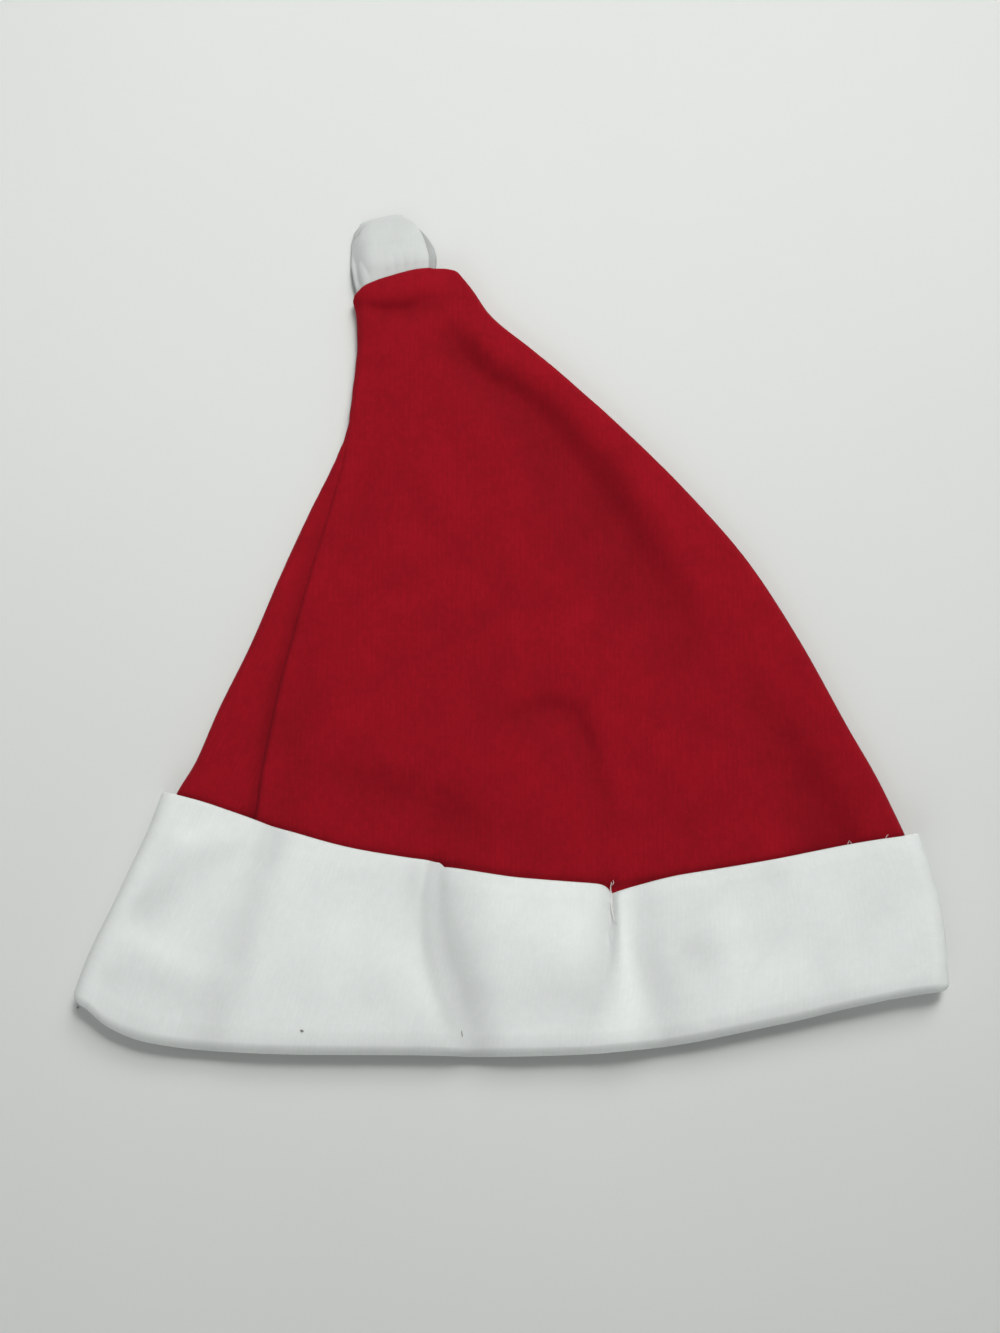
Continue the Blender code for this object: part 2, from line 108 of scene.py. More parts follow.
# ---- creases
# Each crease is a short table of points along it: x, y, its height there, where a minus is a
# trough, and its half width on the left and on the right hand of someone who walks along it.
BODY_CREASES = {
    "edge trough, upper": (
        (-13.5, 61, 0, 2.8, 3.2), (-10.8, 56.2, -1.5, 3.2, 3.8), (-8.2, 52, -2.45, 3.2, 4.4),
        (-4.4, 48.4, -2.1, 3.2, 4.6), (0.4, 45.6, -2.1, 3.4, 5.2), (5, 41.4, -2.5, 4, 6.4),
        (10.2, 34.4, -2.7, 4.6, 8), (16.4, 25.6, -2.6, 5, 9.4), (25.4, 10.8, -2.2, 5.2, 10),
        (31.5, -1, -1.3, 5.6, 9), (36, -12, -0.5, 5.6, 8), (39, -20, 0, 5, 7)),
    "edge rib": (
        (-8, 60, 0, 2.4, 2.4), (0, 54, 0.2, 2.6, 2.8), (9.5, 46.5, 0.25, 3, 3.2),
        (19.5, 35, 0.3, 3.4, 3.8), (28.5, 21, 0.3, 3.8, 4.4), (36, 6, 0.2, 4.4, 5), (42, -6, 0, 4.4, 5)),
    "edge trough, lower": (
        (42.5, -10, 0, 4.6, 5.6), (48.2, -19.5, -0.8, 4.8, 5.8), (53.4, -29, -1.3, 4.8, 6.2),
        (58.2, -37, -1.9, 4.8, 6.6), (62.5, -46, -1.8, 4.8, 6.8)),
    "tip trough": (
        (-32, 64.9, -0.22, 1.2, 1.8), (-28.5, 64.1, -0.75, 1.2, 2), (-24.7, 63.5, -1.01, 1.3, 2.4),
        (-21.5, 63.7, -0.98, 1.3, 2.6), (-18, 64.9, -0.52, 1.4, 2.8), (-14, 66.6, 0, 1.6, 2.8)),
    "tip roll": (
        (-31.5, 67, 0.15, 2, 1.8), (-24, 67.6, 0.35, 2.2, 2), (-15, 69.5, 0.3, 2.2, 2.2)),
    "tack pucker, arm": (
        (-6, -24.5, 0, 2.4, 3.2), (-1.5, -22.6, -0.6, 2.6, 3.4), (3.5, -20.7, -1.1, 2.8, 3.6),
        (8, -20.4, -1.3, 2.8, 3.6), (11.2, -21.2, -1.5, 2.8, 3.4), (13, -24.2, -1.5, 2.6, 3),
        (14.4, -27.4, -1.2, 2.4, 2.6), (15.4, -31, -0.75, 2.4, 2.6), (16.6, -36.5, -0.5, 2.2, 2.4),
        (17.3, -42, -0.35, 2.2, 2.4), (18.2, -50, -0.25, 2.2, 2.4)),
    "tack pull, left": (
        (9.5, -28, 0, 3, 2.6), (11.6, -36, 0.3, 3, 2.6), (13.2, -46, 0.2, 2.6, 2.4)),
    "tack pull, right": (
        (17.5, -24, 0, 3.5, 3.5), (19.4, -34, 0.2, 4, 2.6), (21, -46, 0.2, 4, 2.2)),
    "dent by the cuff": (
        (-37, -34, 0, 4, 3.6), (-31, -34.8, -0.7, 4.4, 3.8), (-24.5, -36.6, -1.1, 4.8, 4.2),
        (-17.5, -38.6, -0.9, 5, 4.6), (-11.5, -41.6, -1.1, 5.4, 5.4), (-6.5, -46, -0.6, 5, 5)),
    "faint trough, upper left": (
        (-27, 31, 0, 3, 3), (-28.5, 24, -0.3, 3, 3.5), (-31, 15, -0.3, 3, 3.5), (-33.5, 7, 0, 3, 3)),
    "faint upright, middle left": (
        (-27, 8, 0, 3, 3), (-28, -8, 0.25, 3, 4), (-31, -24, 0.2, 3, 4), (-33, -34, 0, 3, 3)),
    "faint upright, middle": (
        (-5, 20, 0, 4, 4), (-4, 2, -0.25, 4.5, 5), (-8, -16, -0.2, 4.5, 5), (-10, -28, 0, 4, 4)),
    "faint swell, right": (
        (26, -22, 0, 5, 5), (34, -32, 0.25, 6, 6), (42, -42, 0.2, 6, 6)),
    "left strip": (
        (-44, 8, 0, 3, 3), (-51, -14, 0.2, 3, 3.5), (-56.5, -28, 0.2, 3.5, 4), (-58, -36, 0, 3.5, 4)),
    "beside the left seam": (
        (-40.5, 2, 0, 3, 3), (-40.6, -8, -0.3, 3.4, 3.2), (-41.2, -18, -0.6, 3.8, 3.4),
        (-42.4, -28, -0.7, 4.2, 3.4), (-43.6, -38, -0.5, 4.2, 3.4)),
}
UNDERSIDE_CREASES = {
    "long trough": (
        (-18, 44, 0, 5, 5), (-12, 22, 0.5, 6, 6), (2, -4, 0.6, 6, 7), (10, -24, 0, 6, 6)),
    "short trough": (
        (-34, -6, 0, 4, 4), (-28, -18, 0.45, 4, 5), (-26, -30, 0, 4, 4)),
}
CUFF_CREASES = {
    "main fold, lip": (
        (-15, -49.5, 0.45, 0.7, 3.2), (-15.4, -53.5, 0.4, 0.9, 3.6), (-15.6, -58, 0.2, 1.4, 3.8),
        (-15, -63.5, 0, 1.8, 4)),
    "main fold, trough": (
        (-14.6, -49.5, -0.95, 2, 1.1), (-15.2, -54, -1.3, 2.4, 1.4), (-15.6, -59, -1.6, 3, 1.6),
        (-15.1, -64.5, -1.85, 3.5, 1.9), (-13.6, -71, -2, 3.9, 2.2), (-11.4, -77, -1.85, 4.1, 2.4),
        (-9.2, -82.5, -1.3, 4.2, 2.5), (-7.8, -86, -1, 4.2, 2.6)),
    "main fold, wide": (
        (-13.8, -52, -0.4, 4.5, 2.4), (-13, -60, -0.9, 5.5, 2.6), (-10.6, -70, -0.9, 6, 3.2),
        (-7.6, -80, -0.6, 5.5, 3.4), (-6.4, -86, -0.4, 5.5, 3.4)),
    "behind the lip": (
        (-18.8, -49.5, -0.35, 2.6, 2.8), (-19.2, -55.5, -0.6, 2.6, 2.8), (-18.6, -62, -0.3, 2.4, 2.8),
        (-17.4, -67, 0, 2.2, 2.6)),
    "pillow": (
        (0, -60, 0.5, 8, 8), (8, -62, 0.7, 8, 8), (11.5, -64, 0.7, 7, 8)),
    "pillow, lower hollow": (
        (-2.5, -77.5, -0.1, 3.4, 4.2), (5, -77, -0.3, 3.6, 4.4), (12, -76.6, -0.3, 3.4, 4.4),
        (15.5, -73.5, -0.15, 3, 4)),
    "seam hollow": (
        (18.9, -53.5, -0.9, 1.1, 1.5), (18.8, -60, -0.8, 1.1, 2.2), (18.2, -68, -0.7, 1.4, 3.2),
        (15.6, -75, -0.35, 2, 4), (13, -83, -0.15, 2, 4)),
    "tack ridge": (
        (19.9, -56, 0.24, 1.6, 0.8), (20.4, -62, 0.5, 1.9, 1), (20.9, -70, 0.9, 2.2, 2),
        (21.2, -77, 1.1, 2.8, 3.8), (20.8, -83, 1, 3.6, 5), (20.6, -87, 0.9, 3.6, 5)),
    "tack ridge, right foot": (
        (24.4, -55, -0.4, 3.2, 1.6), (24.8, -62, -0.6, 3.6, 1.7), (25, -69, -0.8, 4.2, 1.8),
        (27, -76, -0.8, 4.4, 1.8), (28.8, -83, -0.6, 4.5, 1.8)),
    "left fold": (
        (-45.6, -43.5, -1, 3.2, 2.8), (-46.6, -48.5, -1.1, 3, 2.8), (-48.8, -54.5, -0.6, 3, 3.2),
        (-50.2, -61, -0.6, 3, 3.4), (-51.6, -67, -0.7, 3, 3.4), (-52.6, -73, -0.5, 3.2, 3.6),
        (-55.6, -78.6, -0.7, 3.6, 4.2), (-57.4, -85, -0.5, 4, 4.2)),
    "left end, upper dent": (
        (-75.2, -60.6, -0.6, 2.2, 3), (-71.4, -59.4, -0.85, 2.8, 3.4), (-67.4, -57.6, -0.65, 3, 3.4),
        (-64, -54.2, -0.4, 3, 3.2), (-59.3, -51.3, -0.4, 2.8, 3), (-52.7, -48.6, -0.3, 2.6, 2.8),
        (-49, -47, 0, 2.6, 2.8)),
    "left end, lower dent": (
        (-80.2, -70, -0.25, 2, 2.8), (-76.2, -72.4, -0.42, 2.4, 3.6), (-72, -73.4, -0.38, 3, 4.4),
        (-66.4, -74.2, -0.42, 3.2, 4.6), (-59, -78.6, -0.25, 3.6, 4.4), (-52, -80.5, 0, 3.6, 4.4)),
    "left end, upper swell": (
        (-66.5, -44.5, 0.2, 3, 3), (-61.5, -46.6, 0.45, 3, 3), (-56, -45.2, 0.2, 3, 3)),
    "left end, middle swell": (
        (-75, -64, 0.2, 2.6, 2.6), (-69, -66.6, 0.4, 3, 3), (-61.5, -71, 0.35, 3.4, 3.4),
        (-57, -73.5, 0, 3.4, 3.4)),
    "middle left swell": (
        (-41, -62, 0, 5, 5), (-34, -66, 0.25, 6, 6), (-24, -68, 0.3, 5, 6), (-17.5, -76, 0.35, 3.5, 4),
        (-15, -82, 0.1, 3.5, 4)),
    "middle left hollow": (
        (-33, -76.5, 0, 3, 3), (-27, -77, -0.3, 3, 3.4), (-20.5, -76, 0, 3, 3)),
    "right dent": (
        (29, -67.6, 0, 3, 3.6), (34.7, -68.4, -0.5, 3.2, 3.8), (41, -69, 0, 3, 3.6)),
    "right swell": (
        (37, -58.5, 0, 4, 4), (41.4, -63.5, 0.35, 4.5, 4.5), (43, -70, 0.3, 4.5, 4.5),
        (41.5, -75.5, 0.4, 4.5, 4), (50, -72.5, 0.3, 4.5, 4.5), (57, -70, 0, 4.5, 4.5)),
    "right end hollow": (
        (69.8, -50, -0.1, 4, 4), (68.8, -57, -0.25, 4, 4.5), (66.5, -66, -0.1, 4, 4)),
    "edge hollow, right": (
        (44, -52.5, 0, 3, 3), (48.7, -53.4, -0.4, 3, 3), (53.5, -53.5, 0, 3, 3)),
}
CREASE_SPACING = 1.5  # between the points that a crease is read at
CREASE_REACH = 3.0  # half widths past which a crease is nothing
TINY = 1e-9  # keeps a division from meeting nothing
PAINTED_HOLLOW_SHADE, HOLLOW_DEPTH = 0.19, 1.2  # painted shade, darker deep in a hollow, and painted highlight, paler on a ridge
WAVES = ((17.0, 0.13), (8.0, 0.07), (3.6, 0.03))  # slight waviness: size and height
WAVE_ORIGIN, WAVE_CELLS = 50.0, 64  # their lattice: where it starts, and cells each way
# How far a face points up to take the upper creases, or down to take the lower ones: where that
# starts, and over how much more it sets in
UPPER_FACING, LOWER_FACING = (0.15, 0.6), (0.6, 0.35)
LEVEL_FACING = 0.5  # a face less level than this is part of a side fold
ROUND_END = 0.98  # a round edge stops just short of upright

# ---- seams, edges and openings
SEAM_DIP = (0.08, 0.22)  # each panel rounds down this far into a side seam: at the tip, at the cuff
SEAM_ROLL = 0.75  # over this width
RIM_PAINTED_SHADE, RIM_WIDTH = 0.30, 0.8  # painted shade on the red where it goes in under the cuff, over this width
UNDER_CUFF = 3.0  # the red's fine rows start this far below the cuff's edge
LEAST_INNER = 0.8  # height of the lower layer's inner face, at the least
SEAM_TOUCH = 0.02  # left between the two panels' edges
SEAM_SLOPE = (0.10, 0.38)  # the front panel sinks towards the left seam: at the tip, at the cuff
SEAM_SLOPE_WIDTH = (1.4, 3.4)
SEAM_RIDGE = (0.04, 0.08)  # and the back panel rides up over the allowance
SEAM_RIDGE_WIDTH = 2.4
SEAM_PAINTED_SHADE = (0.0, 0.22)  # painted shade on the sunk cloth at the left seam: at the tip, at the cuff
SEAM_PAINTED_SHADE_WIDTH = (1.7, 0.8)  # on the front panel and on the back panel
SEAM_LAP = 0.5  # across the line the slope is gone over this width
SEAM_PUCKER, PUCKER_WIDTH = 0.06, 2.5  # ripple of the cloth along a seam
PUCKER_PITCH, PUCKER_DRIFT = 5.2, 9.0  # its pitch, and over what length that drifts

TIP_ROLL = 1.3  # the red edge at the tip turns down over this width
LEAST_DROP = 1.1  # by this much at the least
TIP_CLOSE = 0.08  # left between that edge and the loop
TIP_MIDDLE = (-20.0, 2.45, 0.012)  # beside the loop it closes here: x, height, slope
LOOP_SIDES, LOOP_BLEND = (-31.6, -15.6), 1.6  # and between these it goes round the loop
LOOP_BULGE = 0.28  # room for the loop's gathers

CUFF_SEAM_ACROSS = 0.6  # where the band's seam is, as a fraction of the way across
NOTCH_DEPTH = 1.9  # the tack pulls the free edge down there
NOTCH_LEFT, NOTCH_RIGHT = 0.8, 4.0  # half widths of that dip
GROOVE_DEPTH, GROOVE_WIDTH = 0.6, 0.30  # the seam's groove below the notch
GROOVE_END, GROOVE_FADE = 19.0, 6.0  # it is lost in the pillow nearer the brim than this
GROOVE_WANDER, GROOVE_PITCH = 0.22, 0.9  # how it wavers
FREE_EDGE_REACH = 6.0  # pulls on the free edge die out over this distance below it
FREE_EDGE_SINK, SINK_REACH = 0.35, 4.0  # the free edge settles on the red cloth
STEP_DEPTH = 0.75  # the free edge is pulled down to the right of the main fold
STEP_AT, STEP_WIDTH, STEP_LENGTH = -13.7, 0.8, 16.0
# The layers under the cuff's outer face follow its creases less, by their distance out from the
# middle of the body's wall
FOLLOW_OUT = (-0.7, 0.7, 1.0, 2.4)
FOLLOW_SHARE = (0.5, 0.75, 0.8, 1.0)
CUFF_FOLD_FADE = 4.0  # the cuff's creases die out over this width at its ends
CUFF_FLARE, FLARE_WIDTH = 0.7, 4.0  # the free edge stands out at its two ends
# The mouth along the brim, at fractions of the way across: how far apart its two lips are, how
# far the lower lip lies back, how far the upper one rounds down over it, and how far it juts out
LIP_COLUMNS = ("across", "gap", "setback", "droop", "jut")
LIPS = (
    (0, 0.5, 0, 0.7, 0.3),
    (0.06, 0.4, 1.6, 1.2, 0.8),
    (0.15, 0.3, 3, 1.6, 0.3),
    (0.4, 0.25, 3.4, 1.6, 0.3),
    (0.7, 0.3, 3.2, 1.6, 1.2),
    (0.82, 0.5, 2.4, 1.4, 1.2),
    (0.9, 1.1, 0.8, 1.2, 0.7),
    (0.96, 1.4, -0.4, 1, 0.6),
    (1, 1.2, 0, 0.7, 0.3),
)
DROOP_REACH = 4.0  # the upper lip rounds down over this distance
LIP_REACH = 6.5  # the lips come together over this distance from the brim
SETBACK_REACH = 16.0  # and the lower lip lies back, and the upper one juts out, over this one

# The loop of jersey at the tip: the two sides of each of its leaves, at fractions of the way from
# inside the body to its fold.
TAB_COLUMNS = ("share", "left_x", "left_y", "right_x", "right_y")
TAB_UPPER = (
    (0, -31.4, 67, -17, 71),
    (0.3, -32.5, 71.6, -16.8, 74.9),
    (0.55, -33, 75.6, -17.4, 78.4),
    (0.75, -33, 79, -18.5, 81.6),
    (0.9, -32.5, 81.5, -20, 83.9),
    (1, -31.2, 83.2, -22.2, 85.3),
)
TAB_LOWER = (
    (0, -28, 67.5, -15.9, 71.5),
    (0.3, -29.4, 71.6, -15.3, 75.3),
    (0.55, -30.2, 75.6, -15.8, 78.3),
    (0.75, -30.6, 79, -17.3, 81.2),
    (0.9, -31, 81.5, -19.5, 83.6),
    (1, -31.2, 83.2, -22.2, 85.3),
)
TAB_LOW = 1.8  # middle of the lower leaf where it lies on the red lower panel
TAB_REST = 0.5  # and where it lies on the surface
TAB_LOFT = 1.3  # upper leaf above lower leaf
TAB_PUFF, PUFF_START = 1.3, 0.15  # how much more that is in the middle of the loop
TAB_OUT = 0.3  # the loop leaves the body this fraction of the way up to its fold
TAB_DROP = 0.35  # and its lower leaf comes down to the surface over this fraction
TAB_CURL_WIDTH = 0.30  # the upper leaf curls down to the surface along the loop's left edge
TAB_OVERHANG = (0.03, 0.13)  # and is past the lower leaf's edge there
EDGE_OUT, EDGE_DROP = 0.10, 0.18  # that edge drops off the red cloth over this fraction
TAB_GATHER, GATHER_WAVES = 0.12, 6.5  # small gathers by the seam, nearer its right side
GATHER_AT, GATHER_WIDTH, GATHER_REACH = 0.68, 0.22, 0.13  # middle, and spread each way
TAB_SHADE = 0.75  # its jersey is thinner than the cuff's, and this much as bright
TAB_CURL_PAINTED_SHADE = 0.09  # less this painted shade along its curled left edge
TAB_LOWER_TONE_AND_SHADOW = 0.52  # and this much as bright on its lower leaf: its tone with painted shadow from the upper leaf
LEAF_APART = 1.15  # least distance between the middles of its leaves, where both lie
APART_FROM = 0.8  # one over the other, and all across from this fraction on
FOLD_THIN = 0.8  # the fold is this much thinner at its two ends

# Threads: greatest radius, then points along each with their height over the cloth
PALE_THREADS = {
    "tack, in the groove": (0.15, (
        (18.9, -54.3, 0.2), (18.7, -55.6, 0), (18.9, -57, 0), (18.7, -58.9, 0),
        (19, -60.8, 0), (19.3, -62.1, 0), (19.7, -62.5, 0))),
    "tack, upper end": (0.07, (
        (19, -54.9, 0), (19.3, -54.4, 0.1), (19.2, -53.9, 0.1))),
    "edge fibre, right": (0.06, (
        (64.2, -47.2, 0), (64.3, -46.6, 0.2), (64.6, -46, 0.2))),
    "edge fibre, right, second": (0.05, (
        (64.9, -47.1, 0), (64.9, -46.6, 0.2), (64.7, -46.2, 0.1))),
    "edge fibre, far right": (0.06, (
        (71.3, -46, 0), (71.5, -45.5, 0.2), (71.9, -45.1, 0.1))),
}
DARK_LINT = {
    "speck": (0.2, ((-39.5, -82.5, 0), (-39.2, -82.6, 0.1), (-38.9, -82.7, 0))),
    "upright bit": (0.1, ((-9.5, -82.4, 0), (-9.4, -83, 0.1), (-9.3, -83.6, 0))),
    "dot": (0.2, ((-82.6, -77.3, 0), (-82.4, -77.4, 0.05), (-82.2, -77.5, 0))),
}
ABOVE_ALL = 100.0  # the cloth under a thread is looked for from this height
FIBRE_STEPS, FIBRE_SIDES = 24, 8
FIBRE_LIFT = 0.4  # radii that the middle of a thread lies above the cloth
FIBRE_ENDS = (0.04, 0.96)  # it swells and thins along this part of a half wave
FIBRE_SIDE = (0.3, 0.2, 0.93)  # a way that no thread runs
THREAD_COLOUR, LINT_COLOUR = (0.70, 0.68, 0.67), (0.28, 0.27, 0.26)

# ---- points, grain and colour
# How many points there are across and along each piece, and where they crowd
BACK_COLUMNS, FRONT_COLUMNS, RING_COLUMNS = 218, 130, 560
HIDDEN_ROWS, BODY_ROWS, TIP_ROWS = 10, 176, 9
INNER_ROWS, TURN_ROWS, OUTER_ROWS, EDGE_ROWS, BACK_ROWS = 8, 18, 66, 10, 24
TAB_ACROSS, TAB_ALONG, TAB_TURN, TAB_EDGE = 44, 56, 14, 6
UPPER_CROWD, LOWER_CROWD = 1.0, 0.45
FOLD_CROWD, CORNER_CROWD, SEAM_CROWD = 3.0, 1.0, 3.0
CORNER_REACH, SEAM_REACH, FOLD_ZONE = 7.0, 1.2, 1.7
FINE_STEPS = 1600
STEP = 0.05  # for slopes taken by differences

WALE = 0.97  # one rib of the knit
COURSE = 0.78  # one row of stitches
GRAIN_TURN = math.radians(24)  # the front panel's wales against the back panel's

# Noises over the knit, as scale, detail and roughness
WANDER_NOISE, WANDER = (0.35, 2.0), 0.5  # how the wales wander
FUZZ_NOISE, FUZZ_STRETCH, FUZZ_HEIGHT = (5.5, 4.0, 0.6), (1.0, 0.45, 1.0), 0.8
STREAK_NOISE, STREAK_STRETCH = (0.9, 3.0, 0.6), (1.6, 0.32, 1.0)
CLOUD_NOISE = (0.11, 3.0)
PATCH_NOISE, PATCH_RANGE, KNIT_HEIGHT = (0.13, 2.0), (0.35, 0.65), (0.06, 0.30)
STITCH, STITCH_LEAN, STITCH_RELIEF = 0.16, 1.3, 0.12  # share of a wale's height, slant, depth
HEIGHT_RANGE = (0.25, 0.95)  # painted shade of the knit: its heights from the darkest grooves to the palest raised places
STITCH_TONE, STREAK_TONE, CLOUD_TONE = 0.30, 0.9, 1.2  # how much each changes that
# Jerseys: colour, what shares of it are painted in the knit's shaded grooves and on its raised places,
# bump, sheen and its tint
JERSEYS = {
    "red_jersey": ((0.268, 0.0038, 0.0108), 0.86, 1.13, 0.35, 0.18, (1.0, 0.12, 0.2, 1.0)),
    "white_jersey": ((0.76, 0.785, 0.775), 0.96, 1.035, 0.18, 0.12, (1.0, 1.0, 1.0, 1.0)),
}
SOFT_NOISE, SOFT_SHADES = (9.0, 4.0), (0.97, 1.03)  # slight cloudiness of plain materials

rng = np.random.default_rng(24)


def columns_of(names, rows):
    """A table's rows as one array for each of its column names."""
    return {name: np.array([row[i] for row in rows], float) for i, name in enumerate(names)}


SECTION_TABLE = columns_of(SECTION_COLUMNS, SECTIONS.values())
BOW_TABLE = columns_of(BOW_COLUMNS, BOWS)
TAB_TABLES = [columns_of(TAB_COLUMNS, rows) for rows in (TAB_UPPER, TAB_LOWER)]
LIP_TABLE = columns_of(LIP_COLUMNS, LIPS)


def through(places, values, wanted):
    """Read a smooth curve through a table's column that never overshoots its rows."""
    gaps = np.diff(places)
    slopes = np.diff(values) / gaps
    lean = np.zeros(len(places))
    same_way = slopes[:-1] * slopes[1:] > 0
    before, after = slopes[:-1][same_way], slopes[1:][same_way]
    lean[1:-1][same_way] = 2 * before * after / (before + after)
    lean[0], lean[-1] = slopes[0], slopes[-1]
    wanted = np.clip(wanted, places[0], places[-1])
    row = np.clip(np.searchsorted(places, wanted, side="right") - 1, 0, len(gaps) - 1)
    gap = gaps[row]
    s = (wanted - places[row]) / gap
    return ((1 + 2 * s) * (1 - s) ** 2 * values[row] + s * (1 - s) ** 2 * gap * lean[row]
            + s ** 2 * (3 - 2 * s) * values[row + 1] - s ** 2 * (1 - s) * gap * lean[row + 1])


def read(table, name, wanted):
    """A table's column, read at places along its first column."""
    return through(next(iter(table.values())), table[name], wanted)


def ease(value):
    """Go smoothly from 0 to 1 as the value does."""
    value = np.clip(value, 0.0, 1.0)
    return value * value * (3 - 2 * value)


def between(ends, share):
    """A size that goes from the first of two values to the second."""
    return ends[0] + (ends[1] - ends[0]) * share


def bell(away, width):
    """What is left of something at a distance from its middle, with a round top."""
    return np.exp(-(away / width) ** 2)


def peak(away, width):
    """What is left of something at a distance from its middle, with a sharp top."""
    return np.exp(-np.abs(away) / width)


def lengths(vectors):
    """Length of each vector."""
    return np.linalg.norm(vectors, axis=-1)


def unit(vectors):
    """The same directions, with length 1."""
    return vectors / lengths(vectors)[..., None]


def line_up(steps):
    """Distance along a line to each of its points, from the steps between them."""
    return np.concatenate(([0.0], np.cumsum(steps)))


def numbered(rows, columns):
    """A grid of point numbers."""
    return np.arange(rows * columns).reshape(rows, columns)


# ---- the flattened tube
def section_heights():
    """Distance of each section up the hat, measured from middle to middle."""
    middle_x = (SECTION_TABLE["left_x"] + SECTION_TABLE["right_x"]) / 2
    middle_y = (SECTION_TABLE["left_y"] + SECTION_TABLE["right_y"]) / 2
    return line_up(np.hypot(np.diff(middle_x), np.diff(middle_y)))


HEIGHTS = section_heights()
CUFF_TOP = HEIGHTS[list(SECTIONS).index("cuff edge")]
TIP_TOP = HEIGHTS[-1]


def section(name, up):
    """A column of the sections' table at the given distances up from the brim."""
    return through(HEIGHTS, SECTION_TABLE[name], up)


def bow(across, up):
    """How far a section hangs below the line between its two ends."""
    in_cuff = np.clip(up / CUFF_TOP, 0, 1)
    in_body = np.clip((up - CUFF_TOP) / (TIP_TOP - CUFF_TOP), 0, 1)
    brim, edge, tip = (read(BOW_TABLE, name, across) for name in BOW_COLUMNS[1:])
    cuff_part = brim * (1 - in_cuff) + edge * in_cuff
    return cuff_part * (1 - in_body) ** BOW_FADE + tip * in_body ** TIP_BOW_REACH


def span(up):
    """Left end of a section in the plan, and how far from it the right end is along X and Y."""
    x, y = section("left_x", up), section("left_y", up)
    return x, y, section("right_x", up) - x, section("right_y", up) - y


def ring_lengths(up):
    """Radii of the two side folds, and the length of the straight run between them."""
    left, right = section("rise_left", up) / 2, section("rise_right", up) / 2
    return left, right, np.hypot(*span(up)[2:]) - left - right


def girth(up):
    """Distance all the way round the tube."""
    left, right, run = ring_lengths(up)
    return 2 * run + math.pi * (left + right)


def right_edge(up):
    """Distance round the tube from its left edge, over the top, to its right edge."""
    left, right, run = ring_lengths(up)
    return run + math.pi / 2 * (left + right)


def round_from(start, around, up):
    """Distance round the tube from a start, the shorter way, with a minus towards the left."""
    return np.mod(around - start + girth(up) / 2, girth(up)) - girth(up) / 2


def from_side_fold(around, up):
    """Distance round the tube to the nearer of its two side edges."""
    place = np.mod(around, girth(up))
    return np.minimum(np.minimum(place, girth(up) - place), np.abs(place - right_edge(up)))


def across_at(around, up):
    """Fraction of the way from the left edge to the right one, and whether on the upper layer."""
    left, right, run = ring_lengths(up)
    place = np.mod(around, girth(up))
    past_left = place - left * math.pi / 2
    past_top = past_left - run
    past_right = past_top - right * math.pi
    past_low = past_right - run
    where = [past_left < 0, past_top < 0, past_right < 0, past_low < 0]
    left_top = np.clip(place / left, 0, math.pi / 2)
    right_turn = np.clip(past_top / right, 0, math.pi)
    left_low = np.clip(past_low / left, 0, math.pi / 2)
    from_left = np.select(where, [left - left * np.cos(left_top), left + past_left,
                                  left + run + right * np.sin(right_turn), left + run - past_right],
                          left - left * np.sin(left_low))
    on_top = np.clip(past_left / run, 0, 1)
    inside_edges = ease(past_left / FOLD_FADE) * ease(-past_top / FOLD_FADE)
    loft = 4 * on_top * (1 - on_top) * section("crown", up)
    rise = 2 * left + 2 * (right - left) * ease(on_top) + loft * inside_edges
    above = np.select(where, [left + left * np.sin(left_top), rise,
                              right + right * np.cos(right_turn), np.zeros_like(rise)],
                      left - left * np.cos(left_low))
    return from_left / (left + run + right), above


def middle_of_wall(around, up):
    """Point on the middle of the body's wall, around being measured from the left edge."""
    across, above = across_at(around, up)
    x, y, wide, tall = span(up)
    return np.stack([x + wide * across, y + tall * across - bow(across, up),
                     section("low", up) + above], axis=-1)


def on_body(around, up, out):
    """Points at a distance out from the middle of the body's wall, and the way out there."""
    around, up, out = np.broadcast_arrays(around, up, out)
    along_ring = middle_of_wall(around + STEP, up) - middle_of_wall(around - STEP, up)
    along_tube = middle_of_wall(around, up + STEP) - middle_of_wall(around, up - STEP)
    outward = unit(np.cross(along_ring, along_tube))
    return middle_of_wall(around, up) + outward * out[..., None], outward


def spread(first, last, up, count, end_crowd=0.0):
    """Columns round the tube from first to last, closest on the side folds."""
    around = first + (last - first) * np.linspace(0, 1, FINE_STEPS)[:, None]
    left, right, _run = ring_lengths(up)
    place = np.mod(around, girth(up))
    radius = np.where(np.abs(place - right_edge(up)) < 2 * right, right, left)
    to_fold = from_side_fold(around, up)
    to_end = np.minimum(around - first, last - around)
    crowd = (np.where(place < right_edge(up), UPPER_CROWD, LOWER_CROWD)
             + FOLD_CROWD / radius * (to_fold < FOLD_ZONE * radius)
             + CORNER_CROWD * peak(to_fold, CORNER_REACH) + end_crowd * peak(to_end, SEAM_REACH))
    total = np.cumsum(crowd, axis=0)
    total = (total - total[0]) / (total[-1] - total[0])
    wanted = np.linspace(0, 1, count)
    return np.stack([np.interp(wanted, total[:, i], around[:, i]) for i in range(len(up))])


def cloth_plan(around, up):
    """Where a point lies on the cloth unrolled flat past the tube's two side folds."""
    x, y, wide, tall = span(up)
    share = (around - section("rise_left", up) / 2 * (math.pi / 2 - 1)) / np.hypot(wide, tall)
    return x + wide * share, y + tall * share - bow(across_at(around, up)[0], up)


# ---- relief
def crease_points(rows):
    """A crease's table read at close points along a smooth curve."""
    rows = np.array(rows, float)
    along = line_up(lengths(np.diff(rows[:, :2], axis=0)))
    wanted = np.linspace(0, along[-1], max(3, int(along[-1] / CREASE_SPACING) + 1))
    return np.stack([through(along, rows[:, i], wanted) for i in range(rows.shape[1])], axis=-1)


